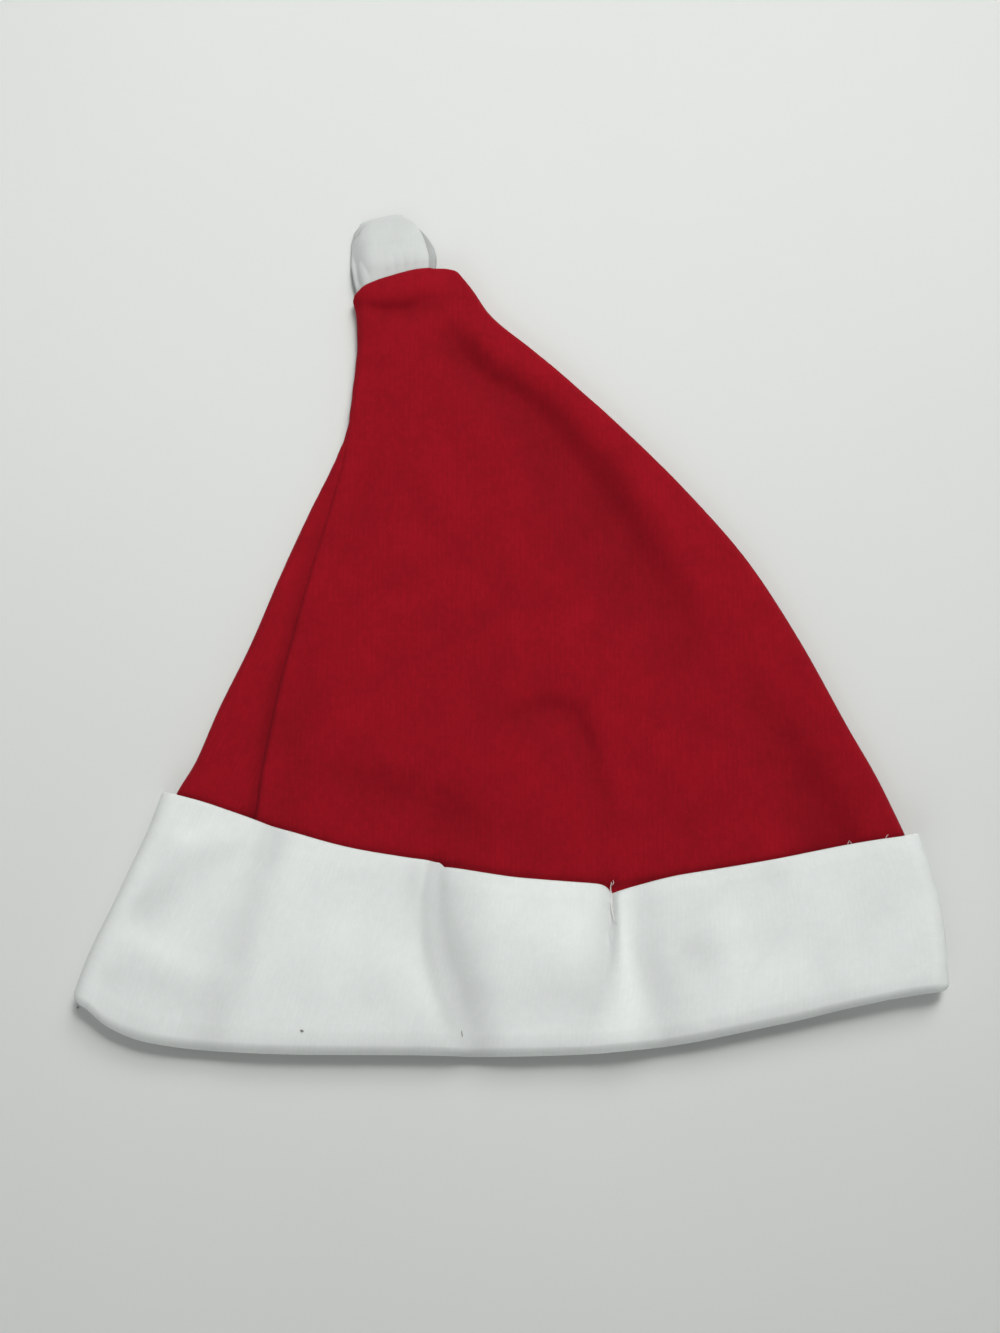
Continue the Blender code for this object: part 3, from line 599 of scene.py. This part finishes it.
def crease_relief(creases, points):
    """Sum of the creases over or under each point."""
    x, y = points[..., 0], points[..., 1]
    total = np.zeros_like(x)
    for rows in creases.values():
        line = crease_points(rows)
        reach = CREASE_REACH * line[:, 3:].max()
        near = ((x > line[:, 0].min() - reach) & (x < line[:, 0].max() + reach)
                & (y > line[:, 1].min() - reach) & (y < line[:, 1].max() + reach))
        px, py = x[near], y[near]
        nearest = np.full_like(px, np.inf)
        value = np.zeros_like(px)
        for start, end in zip(line[:-1], line[1:]):
            run = end[:2] - start[:2]
            share = ((px - start[0]) * run[0] + (py - start[1]) * run[1]) / (run @ run)
            share = np.clip(share, 0, 1)
            off_x, off_y = px - start[0] - share * run[0], py - start[1] - share * run[1]
            away = np.hypot(off_x, off_y)
            side = (run[0] * off_y - run[1] * off_x) / (lengths(run) * away + TINY)
            height, left, right = (start[i] + share * (end[i] - start[i]) for i in (2, 3, 4))
            half_width = right + (left - right) * ease(0.5 + 0.5 * side)
            closer = away < nearest
            nearest = np.where(closer, away, nearest)
            value = np.where(closer, height * bell(away, half_width), value)
        total[near] += value
    return total


def undulation(x, y, size, lattice):
    """Smooth unevenness between -1 and 1 with lumps of the given size."""
    u, v = x / size + WAVE_ORIGIN, y / size + WAVE_ORIGIN
    i, j = np.floor(u).astype(int), np.floor(v).astype(int)
    s, t = ease(u - i), ease(v - j)
    n = WAVE_CELLS
    corner = [lattice[(i + a) % n, (j + b) % n] for a in (0, 1) for b in (0, 1)]
    return (corner[0] * (1 - t) + corner[1] * t) * (1 - s) + (corner[2] * (1 - t) + corner[3] * t) * s


LUMPS = [rng.uniform(-1, 1, (WAVE_CELLS, WAVE_CELLS)) for _ in WAVES]


def unevenness(points):
    """Slight waviness that handled jersey keeps: broad swells and small ripples."""
    return sum(height * undulation(points[..., 0], points[..., 1], size, lattice)
               for (size, height), lattice in zip(WAVES, LUMPS))


def painted_hollow_shade(relief):
    """Painted shade that darkens a hollow, or with a minus a painted highlight that brightens a ridge."""
    return PAINTED_HOLLOW_SHADE * np.tanh(-relief / HOLLOW_DEPTH)


def upper_share(outward):
    """How much a surface faces up."""
    return ease((outward[..., 2] - UPPER_FACING[0]) / UPPER_FACING[1])


def lower_share(outward):
    """How much a surface faces down."""
    return ease((-outward[..., 2] - LOWER_FACING[0]) / LOWER_FACING[1])


# ---- meshes
def grid_faces(index, closed_rows=False, closed_columns=False):
    """Quads over a grid of point numbers, joined up where it is closed."""
    if closed_rows:
        index = np.vstack([index, index[:1]])
    if closed_columns:
        index = np.hstack([index, index[:, :1]])
    return np.stack([index[:-1, :-1], index[:-1, 1:], index[1:, 1:], index[1:, :-1]],
                    axis=-1).reshape(-1, 4)


def capped_tube(index):
    """Faces of a tube whose rows are its rings, closed at both ends."""
    faces = grid_faces(index, closed_columns=True).tolist()
    return faces + [index[0, ::-1].tolist(), index[-1].tolist()]


def put_in_scene(name, data):
    """A new object, linked to the scene."""
    thing = bpy.data.objects.new(name, data)
    bpy.context.scene.collection.objects.link(thing)
    return thing


def mesh_object(name, points, faces, material):
    """A smooth mesh of points in millimetres."""
    mesh = bpy.data.meshes.new(name)
    mesh.from_pydata((points * MM).tolist(), [], faces)
    mesh.shade_smooth()
    mesh.materials.append(material)
    return put_in_scene(name, mesh)


def cloth_object(name, points, faces, grain, material):
    """A mesh of cloth. Each point keeps its place on the flat knit in millimetres, as across,
    up, and how much darker it is painted there: painted shade, and on the loop also its tone."""
    thing = mesh_object(name, points.reshape(-1, 3), faces, material)
    attribute = thing.data.attributes.new("knit", "FLOAT_VECTOR", "POINT")
    attribute.data.foreach_set("vector", grain.astype(np.float32).ravel())
    return thing


def shell(name, outer, inner, grain, material):
    """Closed shell between an outer and an inner grid of points."""
    top = numbered(*outer.shape[:2])
    rim = np.concatenate([top[:-1, 0], top[-1, :-1], top[:0:-1, -1], top[0, :0:-1]])
    after = np.roll(rim, -1)
    rim_faces = np.stack([rim, after, after + top.size, rim + top.size], axis=-1)
    faces = np.concatenate([grid_faces(top), grid_faces(top + top.size)[:, ::-1], rim_faces])
    points = np.concatenate([outer.reshape(-1, 3), inner.reshape(-1, 3)])
    return cloth_object(name, points, faces.tolist(), np.stack([grain, grain]), material)


# ---- red panels
def left_seam(up):
    """Distance round the tube to the left side seam."""
    return section("seam_left", up)


def right_seam(up):
    """Distance round the tube to the right side seam."""
    return right_edge(up) + section("seam_right", up)


def whole_turn(up):
    """Distance once round the tube to the left side seam again."""
    return girth(up) + left_seam(up)


def way_down(up):
    """How far down the body a place is, from 0 at the tip to 1 at the cuff."""
    return ease((TIP_TOP - up) / (TIP_TOP - CUFF_TOP))


def seam_dip(distance, up):
    """How far the outer face lies below its usual place, near a seam."""
    return between(SEAM_DIP, way_down(up)) * np.clip(1 - distance / SEAM_ROLL, 0, 1) ** 2


def seam_relief(around, up):
    """Slope, ridge and pucker beside the left seam, and the painted shade there."""
    down = way_down(up)
    from_left = round_from(left_seam(up), around, up)
    slope = between(SEAM_SLOPE, down) * bell(from_left, between(SEAM_SLOPE_WIDTH, down))
    ridge = between(SEAM_RIDGE, down) * bell(from_left - SEAM_RIDGE_WIDTH, SEAM_RIDGE_WIDTH)
    ripple = SEAM_PUCKER * np.sin(2 * math.pi * up / PUCKER_PITCH + 2 * np.sin(up / PUCKER_DRIFT))
    relief = np.where(from_left < 0, -slope, ridge - slope * peak(from_left, SEAM_LAP))
    width = np.where(from_left < 0, *SEAM_PAINTED_SHADE_WIDTH)
    return (relief + ripple * peak(from_left, PUCKER_WIDTH),
            between(SEAM_PAINTED_SHADE, down) * bell(from_left, width))


def tip_heights(x, high):
    """Height of the line that the red edge at the tip turns down to, above or below the loop."""
    inside = ease((x - LOOP_SIDES[0]) / LOOP_BLEND) * ease((LOOP_SIDES[1] - x) / LOOP_BLEND)
    middle_x, middle, slope = TIP_MIDDLE
    edge = np.where(high, TAB_LOW + TAB_LOFT + TAB_WALL / 2 + LOOP_BULGE + TIP_CLOSE,
                    TAB_LOW - TAB_WALL / 2 - TIP_CLOSE)
    beside = middle + slope * (x - middle_x) + np.where(high, TIP_CLOSE, -TIP_CLOSE) / 2
    return between((beside, edge), inside)


def red_panel(name, first, last, count, turned, material):
    """One red panel, from its hidden hem under the cuff to the tip, where it turns in."""
    start = TIP_TOP - TIP_ROLL
    lap = CUFF_TOP - UNDER_CUFF
    hidden = np.linspace(HEM_UP + SEAM_GAP / 2, lap, HIDDEN_ROWS, endpoint=False)
    body = np.linspace(lap, start, BODY_ROWS)
    turn = np.linspace(0, math.pi / 2, TIP_ROWS + 1)[1:]
    turn_share = np.concatenate([np.zeros(HIDDEN_ROWS + BODY_ROWS), 1 - np.cos(turn)])[:, None]
    up_outer = np.concatenate([hidden, body, start + TIP_ROLL * np.sin(turn)])
    up_inner = np.concatenate([hidden, body, start + (TIP_ROLL - RED_WALL) * np.sin(turn)])
    flat = np.concatenate([hidden, body, start + np.sin(turn)])
    around = spread(first(flat) + SEAM_TOUCH / 2, last(flat) - SEAM_TOUCH / 2, flat, count, SEAM_CROWD)
    to_seam = np.minimum(around - around[:, :1], around[:, -1:] - around)

    faces = []
    for up, side in ((up_outer[:, None], 1), (up_inner[:, None], -1)):
        points, outward = on_body(around, up, np.zeros_like(around))
        high = outward[..., 2] > 0
        outer_z = points[..., 2] + outward[..., 2] * RED_WALL / 2
        level = np.abs(outward[..., 2]) > LEVEL_FACING
        drop = np.where(level, np.abs(outer_z - tip_heights(points[..., 0], high)),
                        section("rise_left", up) / 2 + RED_WALL / 2)
        drop = np.maximum(drop, LEAST_DROP)
        if side > 0:
            out = RED_WALL / 2 - seam_dip(to_seam, up) - drop * turn_share
        else:
            out = -RED_WALL / 2 - (drop - RED_WALL) * turn_share
        relief = crease_relief(BODY_CREASES, points) + unevenness(points)
        relief += (crease_relief(CUFF_CREASES, points) * ease(from_side_fold(around, up) / FOLD_FADE)
                   * np.interp(side * RED_WALL / 2, FOLLOW_OUT, FOLLOW_SHARE))
        relief *= upper_share(outward) * (1 - turn_share)
        by_seam, seam_painted_shade = seam_relief(around, up)
        relief += by_seam * ease((up - lap) / UNDER_CUFF) * (1 - turn_share)
        relief -= crease_relief(UNDERSIDE_CREASES, points) * lower_share(outward)
        if side > 0:
            # painted shade: darker in hollows, at the left seam and where the red goes in under the cuff,
            # paler on ridges
            shade = painted_hollow_shade(relief) + seam_painted_shade + RIM_PAINTED_SHADE * bell(up - CUFF_TOP, RIM_WIDTH)
        points = points + outward * (out + relief)[..., None]
        points[..., 2] = np.maximum(points[..., 2], 0.0 if side > 0 else LEAST_INNER)
        faces.append(points)

    u, v = cloth_plan(around - turned * girth(flat[:, None]), flat[:, None])
    angle = turned * GRAIN_TURN
    grain = np.stack([u * math.cos(angle) - v * math.sin(angle),
                      u * math.sin(angle) + v * math.cos(angle), shade], axis=-1)
    return shell(name, faces[0], faces[1], grain, material)


# ---- cuff
def cuff_profile():
    """The cuff cut through, once all round it: columns up, out and distance along the cloth."""
    half = CUFF_WALL / 2
    centre_out = LEAF_STEP / 2
    radius = centre_out + half
    hem, turn_end, edge = HEM_UP - SEAM_GAP / 2, 2 * radius, CUFF_TOP - half
    turn = np.linspace(0, math.pi, TURN_ROWS)

    def straight(out, first, last, count):
        return [(up, out) for up in np.linspace(first, last, count, endpoint=False)]

    def arc(up, out, size, angles):
        return [(up - size * math.sin(a), out - size * math.cos(a)) for a in angles]

    profile = np.array(
        straight(-half, hem, turn_end, INNER_ROWS)
        + arc(radius, centre_out, radius, turn)
        + straight(LEAF_STEP + half, turn_end, edge, OUTER_ROWS)[1:]
        + arc(edge, LEAF_STEP, half, np.linspace(-math.pi, 0, EDGE_ROWS))
        + straight(LEAF_STEP - half, edge, turn_end, BACK_ROWS)[1:]
        + arc(radius, centre_out, centre_out - half, turn[::-3])
        + straight(half, turn_end, hem, INNER_ROWS - 1) + [(hem, half)])
    return profile[:, 0], profile[:, 1], line_up(lengths(np.diff(profile, axis=0)))


def rounded(share):
    """How far a round edge has dropped, from 1 at its end to 0 past its reach."""
    return 1 - np.sqrt(1 - ROUND_END * np.clip(1 - share, 0, 1) ** 2)


def notch(from_seam):
    """The dip that the tack pulls in the free edge, wider on its left."""
    return peak(from_seam, np.where(from_seam < 0, NOTCH_LEFT, NOTCH_RIGHT))


def cuff_cloth(material):
    """The turned-up band, a ring of doubled cloth with its seam at the centre back."""
    up, out, along = cuff_profile()
    left, _right, run = ring_lengths(up)
    seam = left * math.pi / 2 + CUFF_SEAM_ACROSS * run
    around = spread(seam, seam + girth(up), up, RING_COLUMNS + 1, SEAM_CROWD)[:, :-1]
    up, out = up[:, None], out[:, None]
    points, outward = on_body(around, up, out)
    across, _above = across_at(around, up)
    upper = upper_share(outward)
    outer_leaf = ease(out / LEAF_STEP)
    to_fold = from_side_fold(around, up)
    from_seam = round_from(seam[:, None], around, up)
    near_edge = ease(1 - (CUFF_TOP - up) / FREE_EDGE_REACH) * outer_leaf

    relief = crease_relief(CUFF_CREASES, points) + unevenness(points)
    relief *= ease(to_fold / CUFF_FOLD_FADE) * upper
    # painted shade in the cuff's hollows and painted highlight on its ridges
    shade = painted_hollow_shade(relief)
    follow = np.interp(out, FOLLOW_OUT, FOLLOW_SHARE)
    points += outward * (relief * follow)[..., None]
    wandering = from_seam + GROOVE_WANDER * np.sin(up / GROOVE_PITCH)
    groove = GROOVE_DEPTH * peak(wandering, GROOVE_WIDTH) * ease((up - GROOVE_END) / GROOVE_FADE)
    sink = FREE_EDGE_SINK * ease(1 - (CUFF_TOP - up) / SINK_REACH)
    points -= outward * ((groove + sink) * outer_leaf * upper)[..., None]

    points[..., 1] -= NOTCH_DEPTH * near_edge * notch(from_seam) * upper
    past_step = np.maximum(points[..., 0] - STEP_AT, 0)
    step = STEP_DEPTH * ease(past_step / STEP_WIDTH) * peak(past_step, STEP_LENGTH)
    points[..., 1] -= step * near_edge * upper
    points[..., 0] += np.sign(points[..., 0]) * CUFF_FLARE * near_edge * bell(to_fold, FLARE_WIDTH)

    lips = rounded(up / LIP_REACH)
    rises = section("rise_left", up), section("rise_right", up)
    gap_now = between(rises, ease(across)) - CUFF_WALL
    wanted, setback, droop, jut = (read(LIP_TABLE, name, across) for name in LIP_COLUMNS[1:])
    points[..., 2] -= np.maximum(gap_now - wanted, 0) * lips * ease(to_fold / FOLD_FADE) * upper
    points[..., 2] -= droop * rounded(up / DROOP_REACH) * upper
    points[..., 1] += (setback * lower_share(outward) - jut * upper) * ease(1 - up / SETBACK_REACH)
    points[..., 2] = np.maximum(points[..., 2], 0.0)

    faces = grid_faces(numbered(*around.shape), True, True)
    ring_grain = np.mod(around, girth(up)) * (girth(np.zeros(1)) / girth(up))
    grain = np.stack([ring_grain, np.broadcast_to(along[:, None], around.shape), shade], axis=-1)
    return cloth_object("cuff_cloth", points, faces.tolist(), grain, material)


# ---- loop at the tip
def tab_place(table, share, across):
    """Plan points of a leaf of the loop, across the strip at one place along it."""
    ends = np.array([read(table, name, share) for name in TAB_COLUMNS[1:]]).reshape(2, 2)
    return between(ends, across[:, None])


def lower_leaf(share):
    """Height of the middle of the loop's lower leaf."""
    return between((TAB_LOW, TAB_REST), ease((share - TAB_OUT) / TAB_DROP))


def tab_middle(across):
    """Middle of the loop's wall: up from inside the body, over its fold, and back down."""
    upper, lower = TAB_TABLES
    fold = tab_place(upper, 1.0, across)
    along_fold = unit(fold[-1] - fold[0])
    heading = np.array([-along_fold[1], along_fold[0]])
    off_middle = (2 * across - 1) ** 4
    shares = np.linspace(0, 1, TAB_ALONG)
    curl = np.clip(1 - across / TAB_CURL_WIDTH, 0, 1) ** 2
    over_lower = ease((across - TAB_OVERHANG[0]) / (TAB_OVERHANG[1] - TAB_OVERHANG[0]))
    waves = np.sin(2 * math.pi * GATHER_WAVES * across + 4 * across ** 2)
    gather = TAB_GATHER * waves * bell(across - GATHER_AT, GATHER_WIDTH)
    rows = []
    for share in shares:
        low = lower_leaf(share)
        puff = TAB_PUFF * math.sin(math.pi * ease((share - PUFF_START) / (1 - PUFF_START)))
        edge = between((low, TAB_REST), ease((share - EDGE_OUT) / EDGE_DROP))
        height = low + TAB_LOFT + puff * (1 - off_middle) + gather * bell(share - TAB_OUT, GATHER_REACH)
        apart = LEAF_APART * np.maximum(over_lower, ease((share - APART_FROM) / (1 - APART_FROM)))
        height = np.maximum(between((height, edge), curl), np.maximum(edge, low + apart))
        rows.append(np.column_stack([tab_place(upper, share, across), height]))
    top = rows[-1][:, 2]
    bulge = TAB_LOFT / 2 * (1 - FOLD_THIN * off_middle[:, None])
    for angle in np.linspace(0, math.pi, TAB_TURN)[1:-1]:
        height = (top + TAB_REST) / 2 + (top - TAB_REST) / 2 * math.cos(angle)
        rows.append(np.column_stack([fold + heading * bulge * math.sin(angle), height]))
    for share in shares[::-1]:
        height = np.full(len(across), lower_leaf(share))
        rows.append(np.column_stack([tab_place(lower, share, across), height]))
    return np.stack(rows)


def tab_cloth(material):
    """The loop's strip, with rounded sides and both its ends closed inside the body."""
    half = TAB_WALL / 2
    middle = tab_middle(np.linspace(0, 1, TAB_ACROSS))
    across_step = np.gradient(middle, axis=1)
    sideways = unit(across_step)
    outward = unit(np.cross(across_step, np.gradient(middle, axis=0)))
    width = lengths(middle[:, -1:] - middle[:, :1])
    centre = (middle[:, :1] + middle[:, -1:]) / 2
    middle = centre + (middle - centre) * (1 - TAB_WALL / width[..., None])
    edge = np.linspace(math.pi / 2, -math.pi / 2, TAB_EDGE + 2)[1:-1]
    right, left = (np.stack([middle[:, end] + way * half * (
        math.cos(a) * sideways[:, end] + math.sin(a) * outward[:, end]) for a in edge], axis=1)
        for end, way in ((-1, 1), (0, -1)))
    loop = np.concatenate([middle + half * outward, right, (middle - half * outward)[:, ::-1], left],
                          axis=1)
    loop[..., 2] = np.maximum(loop[..., 2], 0.0)
    u = np.cumsum(lengths(np.diff(loop, axis=1, append=loop[:, :1])), axis=1)
    v = np.cumsum(lengths(np.diff(loop[:, :1], axis=0, prepend=loop[:1, :1])), axis=0)
    # painted shade along the curled left edge; the lower leaf gets its tone with painted shadow from the
    # upper leaf
    curl_painted_shade = TAB_CURL_PAINTED_SHADE * ease(1 - lengths(loop - loop[:, -1:]) / (TAB_CURL_WIDTH * width))
    on_lower = np.arange(len(loop))[:, None] >= TAB_ALONG + TAB_TURN / 2
    shade = np.where(on_lower, 1 - TAB_LOWER_TONE_AND_SHADOW, 1 - TAB_SHADE + curl_painted_shade)
    grain = np.stack([u, np.broadcast_to(v, u.shape), shade], axis=-1)
    return cloth_object("tip_tab_cloth", loop, capped_tube(numbered(*u.shape)), grain, material)


# ---- threads
def surface_under(piece):
    """Function that gives the height of a piece's upper face at a place in the plan."""
    tree = BVHTree.FromPolygons([vertex.co / MM for vertex in piece.data.vertices],
                                [tuple(face.vertices) for face in piece.data.polygons])

    def height(x, y):
        hit = tree.ray_cast(Vector((x, y, ABOVE_ALL)), Vector((0.0, 0.0, -1.0)))[0]
        return hit.z if hit else 0.0
    return height


def fibre_tube(rows, radius, surfaces, first):
    """Points and faces of one thread along its rows, laid on whatever is under each point."""
    wanted = np.linspace(0, len(rows) - 1, FIBRE_STEPS)
    x, y, above = (through(np.arange(len(rows)), column, wanted) for column in np.array(rows, float).T)
    ground = [max(surface(*place) for surface in surfaces) for place in zip(x, y)]
    middle = np.column_stack([x, y, np.array(ground) + above + radius * FIBRE_LIFT])
    along = unit(np.gradient(middle, axis=0))
    side = unit(np.cross(along, FIBRE_SIDE))
    up = np.cross(side, along)
    thick = radius * np.sqrt(np.sin(math.pi * np.linspace(*FIBRE_ENDS, FIBRE_STEPS)))[:, None]
    turn = np.linspace(0, 2 * math.pi, FIBRE_SIDES, endpoint=False)
    rings = [middle + thick * (side * math.cos(a) + up * math.sin(a)) for a in turn]
    return np.stack(rings, axis=1).reshape(-1, 3), capped_tube(first + numbered(FIBRE_STEPS, FIBRE_SIDES))


def threads(name, table, material, surfaces):
    """One object of short threads, each laid on the cloth."""
    points, faces = [], []
    for radius, rows in table.values():
        first = len(points) * FIBRE_STEPS * FIBRE_SIDES
        more_points, more_faces = fibre_tube(rows, radius, surfaces, first)
        points.append(more_points)
        faces += more_faces
    thing = mesh_object(name, np.concatenate(points), faces, material)
    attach(thing, "root")


# ---- materials
class Nodes:
    """Short ways to add nodes to one material."""

    def __init__(self, name):
        self.material = bpy.data.materials.new(name)
        self.material.use_nodes = True
        self.tree = self.material.node_tree
        self.shader = self.tree.nodes["Principled BSDF"]

    def add(self, kind, inputs, output=0, **settings):
        node = self.tree.nodes.new(kind)
        for key, value in settings.items():
            setattr(node, key, value)
        for key, value in inputs.items():
            self.put(node.inputs[key], value)
        return node.outputs[output]

    def put(self, socket, value):
        if isinstance(value, bpy.types.NodeSocket):
            self.tree.links.new(value, socket)
        else:
            socket.default_value = value

    def math(self, operation, *values):
        return self.add("ShaderNodeMath", dict(enumerate(values)), operation=operation)

    def fit(self, value, low, high, to_low, to_high):
        return self.add("ShaderNodeMapRange", {"Value": value, "From Min": low, "From Max": high,
                                               "To Min": to_low, "To Max": to_high})

    def noise(self, place, scale, detail, roughness=0.5, output=0):
        return self.add("ShaderNodeTexNoise", {"Vector": place, "Scale": scale, "Detail": detail,
                                               "Roughness": roughness}, output)

    def parts(self, vector):
        node = self.tree.nodes.new("ShaderNodeSeparateXYZ")
        self.put(node.inputs[0], vector)
        return node.outputs

    def settle(self, values):
        for key, value in values.items():
            self.shader.inputs[key].default_value = value

    def stretch(self, place, by):
        return self.add("ShaderNodeMapping", {"Vector": place, "Scale": by})

    def mix(self, share, first, second):
        node = self.tree.nodes.new("ShaderNodeMix")
        node.data_type = "RGBA"
        for socket, value in ((node.inputs[0], share), (node.inputs[6], first), (node.inputs[7], second)):
            self.put(socket, value)
        return node.outputs[2]


def shaded(colour, by):
    """A colour times a share, with alpha."""
    return (*(min(1.0, channel * by) for channel in colour), 1.0)


def jersey(name, colour, deep, pale, bump, sheen, tint):
    """Fine cotton jersey: upright wales of small leaning stitches, under a soft fuzz."""
    n = Nodes(name)
    stored = n.add("ShaderNodeAttribute", {}, output="Vector", attribute_name="knit")
    across, up, tone_and_painted_shade = n.parts(stored)
    knit = n.add("ShaderNodeCombineXYZ", {0: across, 1: up})
    wander = n.noise(knit, *WANDER_NOISE, output="Color")
    wander = n.add("ShaderNodeVectorMath", {0: wander, "Scale": WANDER}, operation="SCALE")
    place = n.add("ShaderNodeVectorMath", {0: knit, 1: wander}, operation="ADD")
    across, up, _ = n.parts(place)
    wale = n.math("DIVIDE", across, WALE)
    course = n.math("DIVIDE", up, COURSE)
    inside = n.math("ABSOLUTE", n.math("SUBTRACT", n.math("FRACT", wale), 0.5))
    rib = n.math("SQRT", n.math("SUBTRACT", 1.0, n.math("POWER", n.math("MULTIPLY", inside, 2.0), 2.0)))
    lean = n.math("ADD", course, n.math("MULTIPLY", inside, STITCH_LEAN))
    stitch = n.math("SINE", n.math("MULTIPLY", lean, 2 * math.pi))
    cell = n.add("ShaderNodeCombineXYZ", {0: n.math("FLOOR", wale), 1: n.math("FLOOR", lean)})
    chance = n.add("ShaderNodeTexWhiteNoise", {"Vector": cell}, noise_dimensions="2D")
    fibre = n.noise(n.stretch(knit, FUZZ_STRETCH), *FUZZ_NOISE)
    cloudy = n.noise(knit, *CLOUD_NOISE)
    streak = n.noise(n.stretch(knit, STREAK_STRETCH), *STREAK_NOISE)

    knit_height = n.math("MULTIPLY", rib, n.math("MULTIPLY_ADD", stitch, STITCH, 1 - STITCH))
    patchy = n.fit(n.noise(knit, *PATCH_NOISE), *PATCH_RANGE, *KNIT_HEIGHT)
    height = n.math("MULTIPLY_ADD", fibre, FUZZ_HEIGHT, n.math("MULTIPLY", knit_height, patchy))
    # the knit's grooves are painted darker and its raised places paler, a painted shade at stitch scale;
    # the noises add tone that differs at random
    light = n.fit(height, *HEIGHT_RANGE, 0.0, 1.0)
    for unevenly, amount in ((chance, STITCH_TONE), (streak, STREAK_TONE), (cloudy, CLOUD_TONE)):
        light = n.math("MULTIPLY_ADD", n.math("SUBTRACT", unevenly, 0.5), amount, light)
    base = n.mix(n.fit(light, 0.0, 1.0, 0.0, 1.0), shaded(colour, deep), shaded(colour, pale))
    # darker by the stored painted shade, and on the loop also by its tone
    kept = n.math("SUBTRACT", 1.0, tone_and_painted_shade)
    base = n.add("ShaderNodeVectorMath", {0: base, "Scale": kept}, operation="SCALE")
    n.put(n.shader.inputs["Base Color"], base)
    n.settle({"Roughness": 0.92, "Specular IOR Level": 0.10, "Sheen Weight": sheen,
              "Sheen Roughness": 0.45, "Sheen Tint": tint})
    normal = n.add("ShaderNodeBump", {"Height": height, "Strength": bump, "Distance": STITCH_RELIEF * MM})
    n.put(n.shader.inputs["Normal"], normal)
    n.material.diffuse_color = (*colour, 1.0)
    return n.material


def plain(name, colour, roughness):
    """A soft material with slight cloudiness, for threads and the floor."""
    n = Nodes(name)
    place = n.add("ShaderNodeTexCoord", {}, output="Object")
    shades = [shaded(colour, by) for by in SOFT_SHADES]
    n.put(n.shader.inputs["Base Color"], n.mix(n.noise(place, *SOFT_NOISE), *shades))
    n.settle({"Roughness": roughness, "Specular IOR Level": 0.2})
    return n.material


# ---- stage
FLOOR_COLOUR = (0.67, 0.682, 0.670)
FLOOR_REACH = 3000.0
CAMERA_TILT = math.radians(15)
CAMERA_PLACE = (-2.3, -133.10, 457.94)
LENS, LONG_SIDE = 65.0, 36.0
LAMP_COLOUR = (1.0, 1.0, 0.985)
# Lamps: place and target in metres, width, power, and the cone's angle
LAMPS = {
    "ceiling": ((0.24, 0.56, 1.10), (0.035, 0.16, 0.0), 0.7, 81.5, 31.0),
    "far window": ((0.40, 1.15, 0.95), (0.0, 0.45, 0.0), 1.2, 79.5, 47.5),
    "near wall": ((-0.32, -1.00, 0.75), (0.0, -0.02, 0.0), 0.8, 12.0, 60.0),
}
ROOM_COLOUR, ROOM_LIGHT = (0.97, 1.0, 0.985, 1.0), 0.235


def floor():
    corners = FLOOR_REACH * np.array([(-1, -1, 0), (1, -1, 0), (1, 1, 0), (-1, 1, 0)])
    mesh_object("floor", corners, [(0, 1, 2, 3)], plain("pale_surface", FLOOR_COLOUR, 0.7))


def lamp(name, place, target, size, power, cone):
    """A soft round light that fades towards the edge of its cone."""
    light = bpy.data.lights.new(name, "SPOT")
    light.energy, light.color = power, LAMP_COLOUR
    light.shadow_soft_size, light.spot_size, light.spot_blend = size / 2, math.radians(cone), 1.0
    thing = put_in_scene(name, light)
    thing.location = place
    thing.rotation_euler = (Vector(target) - Vector(place)).to_track_quat("-Z", "Y").to_euler()


def lights():
    for name, row in LAMPS.items():
        lamp(name, *row)
    world = bpy.data.worlds.new("room")
    bpy.context.scene.world = world
    world.use_nodes = True
    background = world.node_tree.nodes["Background"]
    background.inputs["Color"].default_value = ROOM_COLOUR
    background.inputs["Strength"].default_value = ROOM_LIGHT


def camera():
    data = bpy.data.cameras.new("camera")
    data.lens, data.sensor_width = LENS, LONG_SIDE
    thing = put_in_scene("camera", data)
    thing.location = [c * MM for c in CAMERA_PLACE]
    thing.rotation_euler = (CAMERA_TILT, 0.0, 0.0)
    bpy.context.scene.camera = thing


# ---- the hat
def dress():
    red, white = (jersey(name, *row) for name, row in JERSEYS.items())
    back = red_panel("back_panel_cloth", left_seam, right_seam, BACK_COLUMNS, 0, red)
    front = red_panel("front_panel_cloth", right_seam, whole_turn, FRONT_COLUMNS, 1, red)
    cuff = cuff_cloth(white)
    tab = tab_cloth(white)
    for piece, node, slot in ((back, "body_back", "red_jersey"), (front, "body_front", "red_jersey"),
                              (cuff, "cuff", "white_jersey"), (tab, "tip_tab", "white_jersey")):
        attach(piece, "root")
        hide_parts(node)
    surfaces = [surface_under(piece) for piece in (cuff, front, back)]
    threads("tack_and_edge_threads", PALE_THREADS, plain("pale_thread", THREAD_COLOUR, 0.8), surfaces)
    threads("dark_lint", DARK_LINT, plain("dark_lint", LINT_COLOUR, 0.9), surfaces)


bpy.context.scene.view_settings.view_transform = "Standard"
camera()
floor()
lights()
dress()
